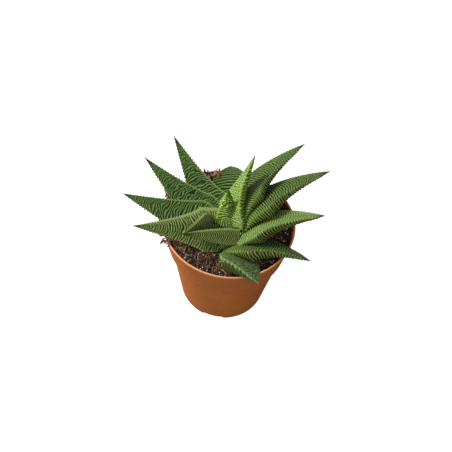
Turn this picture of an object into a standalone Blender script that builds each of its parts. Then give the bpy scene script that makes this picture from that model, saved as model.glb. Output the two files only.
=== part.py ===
"""Potted haworthia: a rosette of thick pointed leaves on a short rooted stem, in a moulded nursery pot.

Sizes are in millimetres and angles in degrees; points turn into metres where a mesh is made.
The origin is the centre of the pot's underside, +Z is up, and the pot stands on z = 0.
"""

import math
from dataclasses import dataclass

import bmesh
import bpy
import numpy as np
from mathutils import Matrix, Vector

MM = 0.001
CLEARANCE = 0.35  # gap that pieces pressed together keep between their skins
MERGE = 0.01  # points nearer than this are one point
SMOOTH_BELOW = math.radians(35)

# Pot
RIM_RADIUS = 42.5
POT_HEIGHT = 75.0
BAND_HEIGHT = 21.0
BAND_BOTTOM_RADIUS = 38.9
BODY_TOP_RADIUS = 37.0
BASE_RADIUS = 29.6
WALL = 1.2
FLOOR = 1.6
LIP_ROUND = 0.55
SHOULDER = 1.6  # height of the slope under the rim band
BASE_ROUND = 1.8
POT_SEGMENTS = 60
ROD_SEGMENTS = 16
ROD_FINE_ABOVE = 10.0  # a thicker round bar takes the pot's segments

# Drainage channels moulded up into the floor, each open through the wall's foot
CHANNEL_COUNT = 3
CHANNEL_WIDTH = 14.0
CHANNEL_HEIGHT = 3.0
CHANNEL_START = 13.0
CHANNEL_TURN = -98.0
DRAIN_HOLE = 5.0
DRAIN_RADIUS = 20.0

# Potting mix
FILL_BELOW_LIP = 5.5
MIX_LUMP = 0.7
MIX_SEGMENTS = 48
MIX_TOP_RINGS = 7

# Stem and roots
STEM_X = 2.0
STEM_Y = -7.0
STEM_RADIUS = 7.0
STEM_TOP_RADIUS = 3.5
STEM_ABOVE_MIX = 5.0
STEM_BELOW_MIX = 12.0
STEM_FOOT_ROUND = 3.0
STEM_SEGMENTS = 20
ROOT_COUNT = 5
ROOT_THICKNESS = 4.0
ROOT_TIP_THICKNESS = 1.6
ROOT_WALL_GAP = 5.0
ROOT_DEPTH = 26.0
ROOT_STAGGER = 4.0  # every other root ends this much lower
ROOT_ARCH = 5.0  # drop of the root's bend below the stem
ROOT_TURN = 20.0
ROOT_RINGS = 9
ROOT_SIDES = 8

# Leaves
CROWN_X = -1.0
CROWN_Y = -4.0
LEAF_RINGS = 13
LEAF_LAST_RING = 0.93
EDGE_THICKNESS = 0.5
KEEL_CORNER = 0.9  # where the underside meets the edge, as a share of the half width
KEEL_PLACE = -0.3  # the keel stands nearer the right edge, as a share of the half width
BELLY = 0.55  # below 1 rounds the flanks, 1 makes them a straight V
FILL = 0.95  # below 1 keeps the keel deep towards the tip
SHOULDER_START = 0.35  # where the right edge starts to round over, as a share of the half width
SHOULDER_END = 1.25

# Bark flakes
CHIP_THIN_END = 0.55
CHIP_SKEW = 0.25
CHIP_BEVEL = 0.18  # share of the thickness

Point = tuple[float, float, float]


@dataclass(frozen=True)
class Leaf:
    """One leaf, from its seat on the crown to its tip."""

    name: str
    heading: float  # plan direction at the seat
    sweep: float  # turn in plan from seat to tip
    length: float
    width: float
    rise: float  # slope at the seat
    bend: float  # change of slope from seat to tip
    roll: float  # twist about the midrib; negative lowers the left edge
    seat: Point  # out along the heading, left of it, above the mix
    keel: float  # depth of the keeled underside
    widest: float = 0.30  # share of the length at the widest place
    taper: float = 1.25  # below 1 hollows the outline towards the tip, above 1 fills it
    foot: float = 0.60  # width at the seat as a share of the width
    channel: float = 0.03  # lift of both edges as a share of the width
    twist: float = 0.0  # change of roll from seat to tip
    shoulder: float = 0.0  # drop of the rounded right edge as a share of the half width
    young: bool = False  # the pale green of new growth


# Youngest first: where two leaves press together, the older one gives way.
LEAVES = (
    Leaf("leaf_01_centre", -70, 0, 34, 13, 92, 0, 8, (-4.7, 0, 1.5), 5, foot=0.9, young=True),
    Leaf("leaf_02_bud", 188, 0, 17, 8, 26, 0, -50, (-6, 3, 9.5), 3, foot=0.9, young=True),
    Leaf("leaf_03_front_inner", 194, 0, 38.5, 10, 16, -4, -50, (-4.8, 13, 10.8), 4,
         0.15, 1.2, 1.0, 0.06, shoulder=0.06),
    Leaf("leaf_04_left_inner", 226, 0, 26, 14, 26, -12, -76, (8, -4.9, 10.8), 4,
         0.3, 1.25, 0.6, 0.06, twist=-40, shoulder=0.14),
    Leaf("leaf_05_tall", 90, -28, 48, 32, 50, -20, -45, (0, 1, 8.0), 10,
         0.12, 0.85, 0.95, twist=-20, young=True),
    Leaf("leaf_06_back_right", 106, -65, 80, 36, 22, -16, -64, (-3, -4, 7.3), 13,
         0.32, 0.7, 0.55, twist=46, shoulder=0.03),
    Leaf("leaf_07_front_left", 196, 0, 62, 28, 10, 8, -32, (0, 2, 5.2), 5,
         0.28, 0.7, 1.0, 0.06, shoulder=0.12),
    Leaf("leaf_08_right_upper", 77, -53, 76, 38, 27, -25, -58, (-2, -6.3, 6.6), 13.5,
         0.32, 0.72, 0.55, twist=38, shoulder=0.03),
    Leaf("leaf_09_left", 179, -10, 66, 28, 5, 6, -15, (4, 0, 5.5), 5,
         0.25, 0.9, 0.6, 0.06, shoulder=0.05),
    Leaf("leaf_10_right", 54, -54, 62, 38, 32, -26, -44, (-5, -9.2, 4.0), 12,
         0.28, 0.85, 0.55, twist=20, shoulder=0.03),
    Leaf("leaf_11_left_back", 156, -12, 68, 25, 9, 8, -15, (4, 0, 4.8), 5,
         0.25, 0.85, 0.6, 0.06, shoulder=0.04),
    Leaf("leaf_12_right_lower", 13, -25, 57, 32, 30, -54, -38, (-3, -12.5, 1.2), 11,
         0.35, 0.75, shoulder=0.03),
    Leaf("leaf_13_back_left", 134, -9, 69, 24, 14, 8, -15, (4, 0, 4.2), 5, 0.25, 0.75, 0.6, 0.06),
    Leaf("leaf_14_back_drooping", 99, -6, 50, 24, 30, -62, -10, (5, -2, 4.5), 5, 0.5, 1.9),
    Leaf("leaf_15_front_drooping", -28, -30, 32, 31, 22, -26, -38, (11, -15.5, 5.2), 10,
         0.35, 1.0, shoulder=0.03),
    Leaf("leaf_16_back_under", 78, 0, 34, 18, 8, 4, -15, (7, 0, 3.5), 3),
    Leaf("leaf_17_right_under", 46, 0, 42, 18, 6, 4, -15, (8, -6, 3.0), 3),
)


@dataclass(frozen=True)
class Chip:
    """A flake of bark on the mix, placed by its direction and its distance in from the lip."""

    name: str
    direction: float
    inside_lip: float
    above_mix: float
    size: Point
    tilt: Point


CHIPS = (
    Chip("bark_chip_1", 111.0, 6.0, 6.0, (10.0, 6.0, 3.2), (10.0, -62.0, 20.0)),
    Chip("bark_chip_2", 124.0, 6.0, 3.0, (8.0, 5.0, 2.6), (20.0, -24.0, 40.0)),
    Chip("bark_chip_3", 156.0, -1.5, 7.6, (9.0, 4.5, 2.4), (12.0, 12.0, 150.0)),
    Chip("bark_chip_4", 201.0, 0.5, 7.2, (8.0, 2.8, 2.0), (8.0, 14.0, 214.0)),
)


def clear_scene() -> None:
    """Removes every object of the scene."""
    for obj in list(bpy.data.objects):
        bpy.data.objects.remove(obj, do_unlink=True)


def material(name: str, colour: Point, roughness: float) -> bpy.types.Material:
    """A plain dielectric finish."""
    made = bpy.data.materials.new(name)
    made.use_nodes = True
    shader = made.node_tree.nodes["Principled BSDF"]
    shader.inputs["Base Color"].default_value = (*colour, 1.0)
    shader.inputs["Roughness"].default_value = roughness
    shader.inputs["Metallic"].default_value = 0.0
    made.diffuse_color = (*colour, 1.0)
    return made


def object_from(bm: bmesh.types.BMesh, name: str) -> bpy.types.Object:
    """Turns a bmesh into an object of the scene, with its faces pointing out."""
    bmesh.ops.recalc_face_normals(bm, faces=bm.faces)
    mesh = bpy.data.meshes.new(name)
    bm.to_mesh(mesh)
    bm.free()
    obj = bpy.data.objects.new(name, mesh)
    bpy.context.scene.collection.objects.link(obj)
    return obj


def dress(obj: bpy.types.Object, finish: bpy.types.Material) -> None:
    """Gives a piece its one material and smooth shading."""
    obj.data.materials.clear()
    obj.data.materials.append(finish)
    obj.data.shade_smooth()
    obj.data.set_sharp_from_angle(angle=SMOOTH_BELOW)


def remove(*objects: bpy.types.Object) -> None:
    """Deletes helpers that have done their work."""
    for obj in objects:
        bpy.data.objects.remove(obj, do_unlink=True)


def turned(name: str, profile: list[tuple[float, float]], segments: int) -> bpy.types.Object:
    """Spins a profile of (radius, height) points, which starts and ends on the axis, round Z."""
    bm = bmesh.new()
    verts = [bm.verts.new((radius * MM, 0.0, height * MM)) for radius, height in profile]
    edges = [bm.edges.new(pair) for pair in zip(verts, verts[1:])]
    bmesh.ops.spin(
        bm,
        geom=verts + edges,
        cent=(0, 0, 0),
        axis=(0, 0, 1),
        angle=math.tau,
        steps=segments,
        use_merge=True,
    )
    bmesh.ops.remove_doubles(bm, verts=bm.verts, dist=MERGE * MM)
    return object_from(bm, name)


def box(name: str, low: Point, high: Point, turn: float) -> bpy.types.Object:
    """A block between two corners, turned about Z."""
    bm = bmesh.new()
    bmesh.ops.create_cube(bm, size=1.0)
    size = Matrix.Diagonal([(b - a) * MM for a, b in zip(low, high)] + [1.0])
    middle = Matrix.Translation([(a + b) / 2 * MM for a, b in zip(low, high)])
    swing = Matrix.Rotation(math.radians(turn), 4, "Z")
    bmesh.ops.transform(bm, verts=bm.verts, matrix=swing @ middle @ size)
    return object_from(bm, name)


def rod(name: str, radius: float, low: float, high: float, place: tuple[float, float]) -> bpy.types.Object:
    """An upright round bar at a place in plan."""
    bm = bmesh.new()
    middle = Matrix.Translation((place[0] * MM, place[1] * MM, (low + high) / 2 * MM))
    bmesh.ops.create_cone(
        bm,
        cap_ends=True,
        segments=POT_SEGMENTS if radius > ROD_FINE_ABOVE else ROD_SEGMENTS,
        radius1=radius * MM,
        radius2=radius * MM,
        depth=(high - low) * MM,
        matrix=middle,
    )
    return object_from(bm, name)


def corners(obj: bpy.types.Object) -> np.ndarray:
    """The object's vertices as rows."""
    flat = np.empty(len(obj.data.vertices) * 3)
    obj.data.vertices.foreach_get("co", flat)
    return flat.reshape(-1, 3)


def apart(first: bpy.types.Object, second: bpy.types.Object) -> bool:
    """Whether the boxes of two objects miss each other."""
    a = corners(first)
    b = corners(second)
    return bool((a.min(0) > b.max(0)).any() or (b.min(0) > a.max(0)).any())


def combine(target: bpy.types.Object, tool: bpy.types.Object, operation: str) -> None:
    """Applies one exact Boolean to the target's mesh, if the two can meet."""
    if apart(target, tool):
        return
    modifier = target.modifiers.new("Boolean", "BOOLEAN")
    modifier.operation = operation
    modifier.object = tool
    graph = bpy.context.evaluated_depsgraph_get()
    mesh = bpy.data.meshes.new_from_object(target.evaluated_get(graph))
    target.modifiers.clear()
    target.data = mesh


def keep_largest(obj: bpy.types.Object) -> None:
    """Drops the crumbs that a cut leaves beside the body of a piece, or hanging on one of its edges."""
    bm = bmesh.new()
    bm.from_mesh(obj.data)
    bmesh.ops.remove_doubles(bm, verts=bm.verts, dist=MERGE * MM)
    bmesh.ops.dissolve_degenerate(bm, edges=bm.edges, dist=MERGE * MM)
    bmesh.ops.triangulate(bm, faces=bm.faces)
    unseen = set(bm.faces)
    islands = []
    while unseen:
        island = [unseen.pop()]
        for face in island:
            whole = [edge for edge in face.edges if len(edge.link_faces) == 2]
            beside = [other for edge in whole for other in edge.link_faces if other in unseen]
            unseen.difference_update(beside)
            island.extend(dict.fromkeys(beside))
        islands.append(island)
    islands.sort(key=len)
    crumbs = [face for island in islands[:-1] for face in island]
    bmesh.ops.delete(bm, geom=crumbs, context="FACES")
    bm.to_mesh(obj.data)
    bm.free()


def grown(obj: bpy.types.Object, by: float) -> bpy.types.Object:
    """A helper copy of a piece whose skin stands out by a clearance."""
    bm = bmesh.new()
    bm.from_mesh(obj.data)
    bm.normal_update()
    moves = [(vert, vert.normal.copy()) for vert in bm.verts]
    for vert, normal in moves:
        vert.co += normal * by * MM
    return object_from(bm, obj.name + "_room")


def inner_radius(height: float) -> float:
    """Radius of the pot's inside at a height, which follows the outside at the wall's thickness."""
    band_bottom = POT_HEIGHT - BAND_HEIGHT
    body_top = band_bottom - SHOULDER
    heights = [0.0, body_top, band_bottom, POT_HEIGHT]
    radii = [BASE_RADIUS, BODY_TOP_RADIUS, BAND_BOTTOM_RADIUS, RIM_RADIUS]
    return float(np.interp(height, heights, radii)) - WALL


def arc(
    centre: tuple[float, float], radius: float, start: float, end: float, steps: int
) -> list[tuple[float, float]]:
    """Points of a round corner in the profile's plane."""
    angles = np.radians(np.linspace(start, end, steps + 1))
    return [(centre[0] + radius * math.cos(a), centre[1] + radius * math.sin(a)) for a in angles]


def channel_blocks(name: str, grow: float) -> list[bpy.types.Object]:
    """The outside of each raised channel, running out past the wall."""
    half = CHANNEL_WIDTH / 2 + WALL + grow
    blocks = []
    for index in range(CHANNEL_COUNT):
        turn = CHANNEL_TURN + index * 360 / CHANNEL_COUNT
        low = (CHANNEL_START - WALL - grow, -half, FLOOR / 2)
        high = (RIM_RADIUS, half, CHANNEL_HEIGHT + WALL + grow)
        blocks.append(box(f"{name}_{index}", low, high, turn))
    return blocks


def make_pot() -> bpy.types.Object:
    """One moulding: floor, tapering body, shoulder and flared rim band, with channels and drain holes."""
    band_bottom = POT_HEIGHT - BAND_HEIGHT
    lip_centre = RIM_RADIUS - LIP_ROUND
    profile = [(0.0, 0.0)]
    profile += arc((BASE_RADIUS - BASE_ROUND, BASE_ROUND), BASE_ROUND, -90, 0, 4)
    profile += [(BODY_TOP_RADIUS, band_bottom - SHOULDER), (BAND_BOTTOM_RADIUS, band_bottom)]
    profile += arc((lip_centre, POT_HEIGHT - LIP_ROUND), LIP_ROUND, 0, 90, 3)
    profile += arc((RIM_RADIUS - WALL + LIP_ROUND / 2, POT_HEIGHT - LIP_ROUND), LIP_ROUND / 2, 90, 180, 2)
    profile += [(inner_radius(band_bottom), band_bottom)]
    profile += [(inner_radius(band_bottom - SHOULDER), band_bottom - SHOULDER)]
    profile += [(inner_radius(FLOOR), FLOOR), (0.0, FLOOR)]
    pot = turned("pot", profile, POT_SEGMENTS)
    covers = channel_blocks("channel_cover", 0.0)
    within_wall = rod("within_wall", BASE_RADIUS - WALL / 2, 0.0, POT_HEIGHT, (0.0, 0.0))
    for cover in covers:
        combine(cover, within_wall, "INTERSECT")
        combine(pot, cover, "UNION")
    remove(within_wall, *covers)
    for index in range(CHANNEL_COUNT):
        turn = CHANNEL_TURN + index * 360 / CHANNEL_COUNT
        half = CHANNEL_WIDTH / 2
        groove = box("groove", (CHANNEL_START, -half, -WALL), (RIM_RADIUS, half, CHANNEL_HEIGHT), turn)
        spot = (DRAIN_RADIUS * math.cos(math.radians(turn)), DRAIN_RADIUS * math.sin(math.radians(turn)))
        hole = rod("drain", DRAIN_HOLE / 2, CHANNEL_HEIGHT / 2, CHANNEL_HEIGHT + 2 * WALL, spot)
        combine(pot, groove, "DIFFERENCE")
        combine(pot, hole, "DIFFERENCE")
        remove(groove, hole)
    return pot


def mix_top() -> float:
    """Height of the potting mix's surface."""
    return POT_HEIGHT - FILL_BELOW_LIP


def make_mix() -> bpy.types.Object:
    """The compost: it follows the pot's inside at a clearance, and its top is gently lumpy."""
    band_bottom = POT_HEIGHT - BAND_HEIGHT
    heights = [FLOOR + CLEARANCE, band_bottom - SHOULDER, band_bottom, mix_top()]
    profile = [(0.0, FLOOR + CLEARANCE)]
    profile += [(inner_radius(height) - CLEARANCE, height) for height in heights]
    edge = profile[-1][0]
    profile += [(edge * (1 - step / MIX_TOP_RINGS), mix_top()) for step in range(1, MIX_TOP_RINGS + 1)]
    mix = turned("potting_mix", profile, MIX_SEGMENTS)
    for vert in mix.data.vertices:
        x, y, z = vert.co / MM
        if z < mix_top() - MERGE:
            continue
        broad = math.sin(math.tau * x / 20 + 1.0) * math.cos(math.tau * y / 23)
        fine = math.sin(math.tau * (x / 14 + y / 12))
        vert.co.z = (mix_top() + MIX_LUMP * (0.6 * broad + 0.4 * fine)) * MM
    covers = channel_blocks("channel_room", CLEARANCE)
    for cover in covers:
        combine(mix, cover, "DIFFERENCE")
    remove(*covers)
    return mix


def swept(name: str, rings: np.ndarray, tip: np.ndarray) -> bpy.types.Object:
    """A closed body through rings of points, capped at its first ring and drawn to a point at its tip."""
    bm = bmesh.new()
    loops = [[bm.verts.new(point * MM) for point in ring] for ring in rings]
    around = len(loops[0])
    for lower, upper in zip(loops, loops[1:]):
        for i in range(around):
            j = (i + 1) % around
            bm.faces.new((lower[i], lower[j], upper[j], upper[i]))
    point = bm.verts.new(tip * MM)
    for i in range(around):
        bm.faces.new((loops[-1][i], loops[-1][(i + 1) % around], point))
    bm.faces.new(reversed(loops[0]))
    bmesh.ops.triangulate(bm, faces=bm.faces)
    return object_from(bm, name)


def leaf_midrib(leaf: Leaf, along: np.ndarray) -> tuple[np.ndarray, np.ndarray, np.ndarray]:
    """Points on the midrib, with the directions to the leaf's left and out of its upper face.

    The slope changes evenly along the leaf, and the heading mostly near the foot, so each step of the
    midrib is known.
    """
    heading = np.radians(leaf.heading + leaf.sweep * (1 - (1 - along) ** 3))
    slope = np.radians(leaf.rise + leaf.bend * along)
    ahead = np.stack([np.cos(slope) * np.cos(heading), np.cos(slope) * np.sin(heading), np.sin(slope)], -1)
    steps = (ahead[1:] + ahead[:-1]) / 2 * (np.diff(along) * leaf.length)[:, None]
    level = np.stack([-np.sin(heading), np.cos(heading), np.zeros_like(heading)], -1)
    roll = np.radians(leaf.roll + leaf.twist * along)[:, None]
    left = level * np.cos(roll) + np.cross(ahead, level) * np.sin(roll)
    out, side, above = leaf.seat
    first = math.radians(leaf.heading)
    seat = np.array(
        [
            CROWN_X + out * math.cos(first) - side * math.sin(first),
            CROWN_Y + out * math.sin(first) + side * math.cos(first),
            mix_top() + above,
        ]
    )
    points = seat + np.concatenate([np.zeros((1, 3)), np.cumsum(steps, 0)])
    return points, left, np.cross(ahead, left)


def leaf_half_width(leaf: Leaf, along: np.ndarray) -> np.ndarray:
    """Half the width: it swells from the foot to the widest place, then tapers to nothing at the tip."""
    swell = leaf.foot + (1 - leaf.foot) * np.sin(np.minimum(along / leaf.widest, 1) * np.pi / 2)
    fade = 1 - np.clip((along - leaf.widest) / (1 - leaf.widest), 0, 1) ** leaf.taper
    return leaf.width / 2 * swell * fade


def keel_depth(across: np.ndarray) -> np.ndarray:
    """Share of the keel's depth across the underside: full at the keel, and nothing at both edges."""
    beyond = across - KEEL_PLACE
    from_keel = np.abs(beyond) / (1 - np.sign(beyond) * KEEL_PLACE)
    return (1 - from_keel) ** BELLY


def shoulder_drop(across: np.ndarray) -> np.ndarray:
    """Share of the shoulder's drop across the blade: it starts level and steepens to the right edge."""
    share = np.clip((-across - SHOULDER_START) / (SHOULDER_END - SHOULDER_START), 0, 1)
    return share * share * (3 - 2 * share)


def make_leaf(leaf: Leaf) -> bpy.types.Object:
    """A leaf as a keeled blade: a shallow channel above, and convex flanks that meet in a keel below."""
    along = np.linspace(0, 1, 4 * LEAF_RINGS + 1)
    points, left, up = leaf_midrib(leaf, along)
    half = leaf_half_width(leaf, along)
    from_foot = np.minimum(along / leaf.widest, 1)
    fullness = (half / (leaf.width / 2)) ** FILL * (1 + from_foot) / 2
    upper = np.array([-1.0, -0.5, 0.0, 0.5, 1.0])
    left_flank = (KEEL_CORNER + KEEL_PLACE) / 2
    right_flank = (KEEL_PLACE - KEEL_CORNER) / 2
    under = np.array([KEEL_CORNER, left_flank, KEEL_PLACE, right_flank, -KEEL_CORNER])
    across = np.concatenate([upper, under])
    depth = np.concatenate([np.zeros_like(upper), keel_depth(under)])
    edge = np.concatenate([np.zeros_like(upper), np.full_like(under, EDGE_THICKNESS)])
    half_of = half[:, None]
    lift = 2 * leaf.channel * half_of * across**2 - leaf.keel * fullness[:, None] * depth - edge
    lift -= 4 * leaf.shoulder * half_of * shoulder_drop(across)
    rings = points[:, None] + left[:, None] * (half_of * across)[..., None]
    rings += up[:, None] * lift[..., None]
    chosen = np.linspace(0, LEAF_LAST_RING * 4 * LEAF_RINGS, LEAF_RINGS).round().astype(int)
    return swept(leaf.name, rings[chosen], points[-1])


def make_stem() -> bpy.types.Object:
    """The crown: a stout upright core, narrower at its top, standing in the mix."""
    top = mix_top() + STEM_ABOVE_MIX
    low = mix_top() - STEM_BELOW_MIX
    profile = [(0.0, low), (STEM_RADIUS * 0.75, low), (STEM_RADIUS, low + STEM_FOOT_ROUND)]
    profile += [(STEM_RADIUS, mix_top() + MIX_LUMP), (STEM_TOP_RADIUS, top), (0.0, top + MIX_LUMP)]
    stem = turned("stem", profile, STEM_SEGMENTS)
    stem.data.transform(Matrix.Translation((STEM_X * MM, STEM_Y * MM, 0.0)))
    return stem


def make_root(index: int) -> bpy.types.Object:
    """A fleshy root: it leaves the stem's underside and bends out and down to stop short of the wall."""
    turn = math.radians(index * 360 / ROOT_COUNT + ROOT_TURN)
    low = mix_top() - STEM_BELOW_MIX
    end_height = low - ROOT_DEPTH - ROOT_STAGGER * (index % 2)
    reach = inner_radius(end_height) - ROOT_WALL_GAP
    end = np.array([reach * math.cos(turn), reach * math.sin(turn), end_height])
    spread = STEM_RADIUS / 2
    start = np.array(
        [STEM_X + spread * math.cos(turn), STEM_Y + spread * math.sin(turn), low - CLEARANCE]
    )
    bend = np.array([(start[0] + end[0]) / 2, (start[1] + end[1]) / 2, low - ROOT_ARCH])
    t = np.linspace(0, 1, ROOT_RINGS)[:, None]
    path = (1 - t) ** 2 * start + 2 * t * (1 - t) * bend + t**2 * end
    ahead = np.gradient(path, axis=0)
    ahead /= np.linalg.norm(ahead, axis=1)[:, None]
    side = np.array([-math.sin(turn), math.cos(turn), 0.0])
    over = np.cross(ahead, side)
    radius = (ROOT_THICKNESS + (ROOT_TIP_THICKNESS - ROOT_THICKNESS) * t) / 2
    angle = np.linspace(0, math.tau, ROOT_SIDES, endpoint=False)
    across = np.cos(angle)[None, :, None] * side + np.sin(angle)[None, :, None] * over[:, None]
    rings = path[:, None] + radius[:, None] * across
    rings[0, :, 2] = start[2]
    return swept(f"root_{index + 1}", rings[:-1], path[-1])


def make_chip(chip: Chip) -> bpy.types.Object:
    """A split flake of bark with one thin end."""
    bm = bmesh.new()
    bmesh.ops.create_cube(bm, size=1.0)
    length, width, thickness = chip.size
    for vert in bm.verts:
        x, y, z = vert.co
        thin = CHIP_THIN_END if x > 0 else 1.0
        skew = CHIP_SKEW if y > 0 else 0.0
        vert.co = ((x + skew * z) * length * MM, y * width * MM, z * thickness * thin * MM)
    bevel = CHIP_BEVEL * thickness * MM
    bmesh.ops.bevel(bm, geom=bm.edges, offset=bevel, segments=1, affect="EDGES")
    turn = Matrix.Identity(4)
    for axis, angle in zip("XYZ", chip.tilt):
        turn = Matrix.Rotation(math.radians(angle), 4, axis) @ turn
    direction = math.radians(chip.direction)
    reach = RIM_RADIUS - chip.inside_lip
    height = mix_top() + chip.above_mix
    place = Vector((reach * math.cos(direction), reach * math.sin(direction), height)) * MM
    bmesh.ops.transform(bm, verts=bm.verts, matrix=Matrix.Translation(place) @ turn)
    return object_from(bm, chip.name)


def trim(piece: bpy.types.Object, rooms: list[bpy.types.Object]) -> None:
    """Cuts a piece back from the room that each earlier piece needs."""
    for room in rooms:
        combine(piece, room, "DIFFERENCE")
    keep_largest(piece)


def main() -> None:
    """Builds the pieces in the order in which they push each other aside."""
    clear_scene()
    terracotta = material("terracotta_plastic", (0.42, 0.15, 0.05), 0.55)
    compost = material("compost", (0.035, 0.022, 0.015), 0.95)
    bark = material("bark", (0.16, 0.07, 0.035), 0.9)
    green = material("leaf_green", (0.07, 0.16, 0.03), 0.45)
    young_green = material("young_leaf_green", (0.20, 0.33, 0.06), 0.45)
    pale = material("pale_tissue", (0.55, 0.50, 0.28), 0.6)

    pot = make_pot()
    stem = make_stem()
    roots = [make_root(index) for index in range(ROOT_COUNT)]
    rooms = [grown(pot, CLEARANCE), grown(stem, CLEARANCE)]
    leaves = []
    for leaf in LEAVES:
        blade = make_leaf(leaf)
        room = grown(blade, CLEARANCE)
        trim(blade, rooms)
        rooms.append(room)
        leaves.append(blade)
    chips = []
    for chip in CHIPS:
        flake = make_chip(chip)
        room = grown(flake, CLEARANCE)
        trim(flake, rooms)
        rooms.append(room)
        chips.append(flake)
    mix = make_mix()
    root_rooms = [grown(root, CLEARANCE) for root in roots]
    trim(mix, rooms[1:] + root_rooms)
    remove(*rooms, *root_rooms)

    dress(pot, terracotta)
    dress(mix, compost)
    dress(stem, pale)
    for root in roots:
        dress(root, pale)
    for leaf, blade in zip(LEAVES, leaves):
        dress(blade, young_green if leaf.young else green)
    for flake in chips:
        dress(flake, bark)


main()
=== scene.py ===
"""Looks of a potted haworthia: ribbed pointed leaves, gritty potting mix and a moulded nursery pot.

Sizes are in millimetres and angles in degrees, unless a name says otherwise. Points turn into metres
where a mesh is made. The origin is the centre of the pot's underside, and +Z is up.
"""

import logging
import math
from dataclasses import dataclass, field
from enum import Enum

import bpy
import numpy as np
from mathutils import Matrix, Vector


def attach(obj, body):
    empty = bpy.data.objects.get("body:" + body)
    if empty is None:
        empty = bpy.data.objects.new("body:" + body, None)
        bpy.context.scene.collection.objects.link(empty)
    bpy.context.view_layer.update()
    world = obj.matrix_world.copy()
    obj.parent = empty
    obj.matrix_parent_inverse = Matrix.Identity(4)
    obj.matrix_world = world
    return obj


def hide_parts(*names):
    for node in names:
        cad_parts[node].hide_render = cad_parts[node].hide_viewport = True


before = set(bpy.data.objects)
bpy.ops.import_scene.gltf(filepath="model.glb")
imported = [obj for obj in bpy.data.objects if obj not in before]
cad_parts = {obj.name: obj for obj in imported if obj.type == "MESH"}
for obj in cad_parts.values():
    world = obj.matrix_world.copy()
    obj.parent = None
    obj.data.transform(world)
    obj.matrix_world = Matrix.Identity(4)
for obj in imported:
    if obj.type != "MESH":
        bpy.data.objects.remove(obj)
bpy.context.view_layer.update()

Array = np.ndarray
Point = tuple[float, float, float]
Range = tuple[float, float]
Colour = tuple[int, int, int]

MM = 0.001
BODY = "root"
BLACK: Colour = (0, 0, 0)
WHITE: Colour = (255, 255, 255)

# Where a Mix node that works on colours has its two colours and its result.
MIX_FIRST, MIX_SECOND, MIX_RESULT = 6, 7, 2

# The leaf skin's number inputs, named after the values kept on a leaf, and its colour inputs.
# The last value and colour give each leaf's foot its own tint together with painted shade where the leaves
# crowd the crown.
LEAF_VALUES = ("Ridge", "Under", "Edge", "Tip", "Foot_Tint_And_Shade")
LEAF_COLOURS = (
    "Valley", "Crest", "Under Valley", "Under Crest", "Edge Colour", "Tip Colour", "Foot Tint And Shade Colour",
)
log = logging.getLogger("haworthia")


class Slot(Enum):
    """Names of finishes for the new pieces; nothing in the script uses them."""

    POT = "pot_plastic"
    MIX = "potting_mix"
    BARK = "bark"
    LEAF = "leaf"
    YOUNG = "young_leaf"


class Stage(Enum):
    """How old a leaf is, which sets its ribs and its colour."""

    BUD = "bud"
    YOUNG = "young"
    INNER = "inner"
    GROWN = "grown"
    KEELED = "keeled"
    BROAD = "broad"
    OLD = "old"


# ---------------------------------------------------------------- surfaces


@dataclass
class Surface:
    """A closed surface: points in millimetres, its faces, and values kept at its points.

    Attributes:
        points: rows of x, y, z.
        quads: rows of four point numbers.
        triangles: rows of three point numbers.
        values: named numbers, one at each point.
    """

    points: Array
    quads: Array
    triangles: Array = field(default_factory=lambda: np.empty((0, 3), int))
    values: dict[str, Array] = field(default_factory=dict)

    def outward(self) -> "Surface":
        """Turns every face round if the surface encloses a negative volume.

        Six times the volume is the sum, over the triangles, of one corner times the cross product of the
        other two.

        Returns:
            The surface itself.
        """
        split = np.concatenate([self.quads[:, [0, 1, 2]], self.quads[:, [0, 2, 3]], self.triangles])
        a, b, c = (self.points[split[:, i]] for i in range(3))
        if np.einsum("ij,ij->i", a, np.cross(b, c)).sum() < 0:
            self.quads = self.quads[:, ::-1]
            self.triangles = self.triangles[:, ::-1]
        return self

    def toned(self, tones: Array) -> "Surface":
        """Gives each of its equal copies a tone of its own."""
        self.values["tone"] = np.repeat(tones, len(self.points) // len(tones))
        return self


def grid_quads(rows: int, columns: int) -> Array:
    """Faces between neighbouring rows of a grid whose last column joins its first.

    Args:
        rows: number of rows.
        columns: number of points in each row.

    Returns:
        Rows of four point numbers.
    """
    row = np.arange(rows - 1)[:, None] * columns
    column = np.arange(columns)[None, :]
    beside = (column + 1) % columns
    corners = [row + column, row + beside, row + columns + beside, row + columns + column]
    return np.stack(corners, -1).reshape(-1, 4)


def capped(rings: Array, first: Array, last: Array, values: dict[str, Array] | None = None) -> Surface:
    """A closed surface through rings of points, drawn to a point at each end.

    Args:
        rings: points as rows of rings.
        first: the point that closes the first ring.
        last: the point that closes the last ring.
        values: numbers at the rings' points; each end takes its ring's mean.

    Returns:
        The closed surface.
    """
    rows, columns = rings.shape[:2]
    around = np.arange(columns)
    beside = (around + 1) % columns
    low = rows * columns
    top = low - columns
    start = np.stack([beside, around, np.full(columns, low)], -1)
    end = np.stack([top + around, top + beside, np.full(columns, low + 1)], -1)
    kept = {
        name: np.concatenate([value.ravel(), [value[0].mean()], [value[-1].mean()]])
        for name, value in (values or {}).items()
    }
    points = np.concatenate([rings.reshape(-1, 3), first[None], last[None]])
    return Surface(points, grid_quads(rows, columns), np.concatenate([start, end]), kept).outward()


def many(points: Array, quads: Array, triangles: Array) -> Surface:
    """One surface from many copies of a shape.

    Args:
        points: copies, then the points of each copy, then x, y, z.
        quads: the shape's four-sided faces.
        triangles: the shape's three-sided faces.

    Returns:
        All the copies as one surface.
    """
    count, size = points.shape[:2]
    shift = (np.arange(count) * size)[:, None, None]
    return Surface(
        points.reshape(-1, 3),
        (quads[None] + shift).reshape(-1, 4),
        (triangles[None] + shift).reshape(-1, 3),
    )


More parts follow.
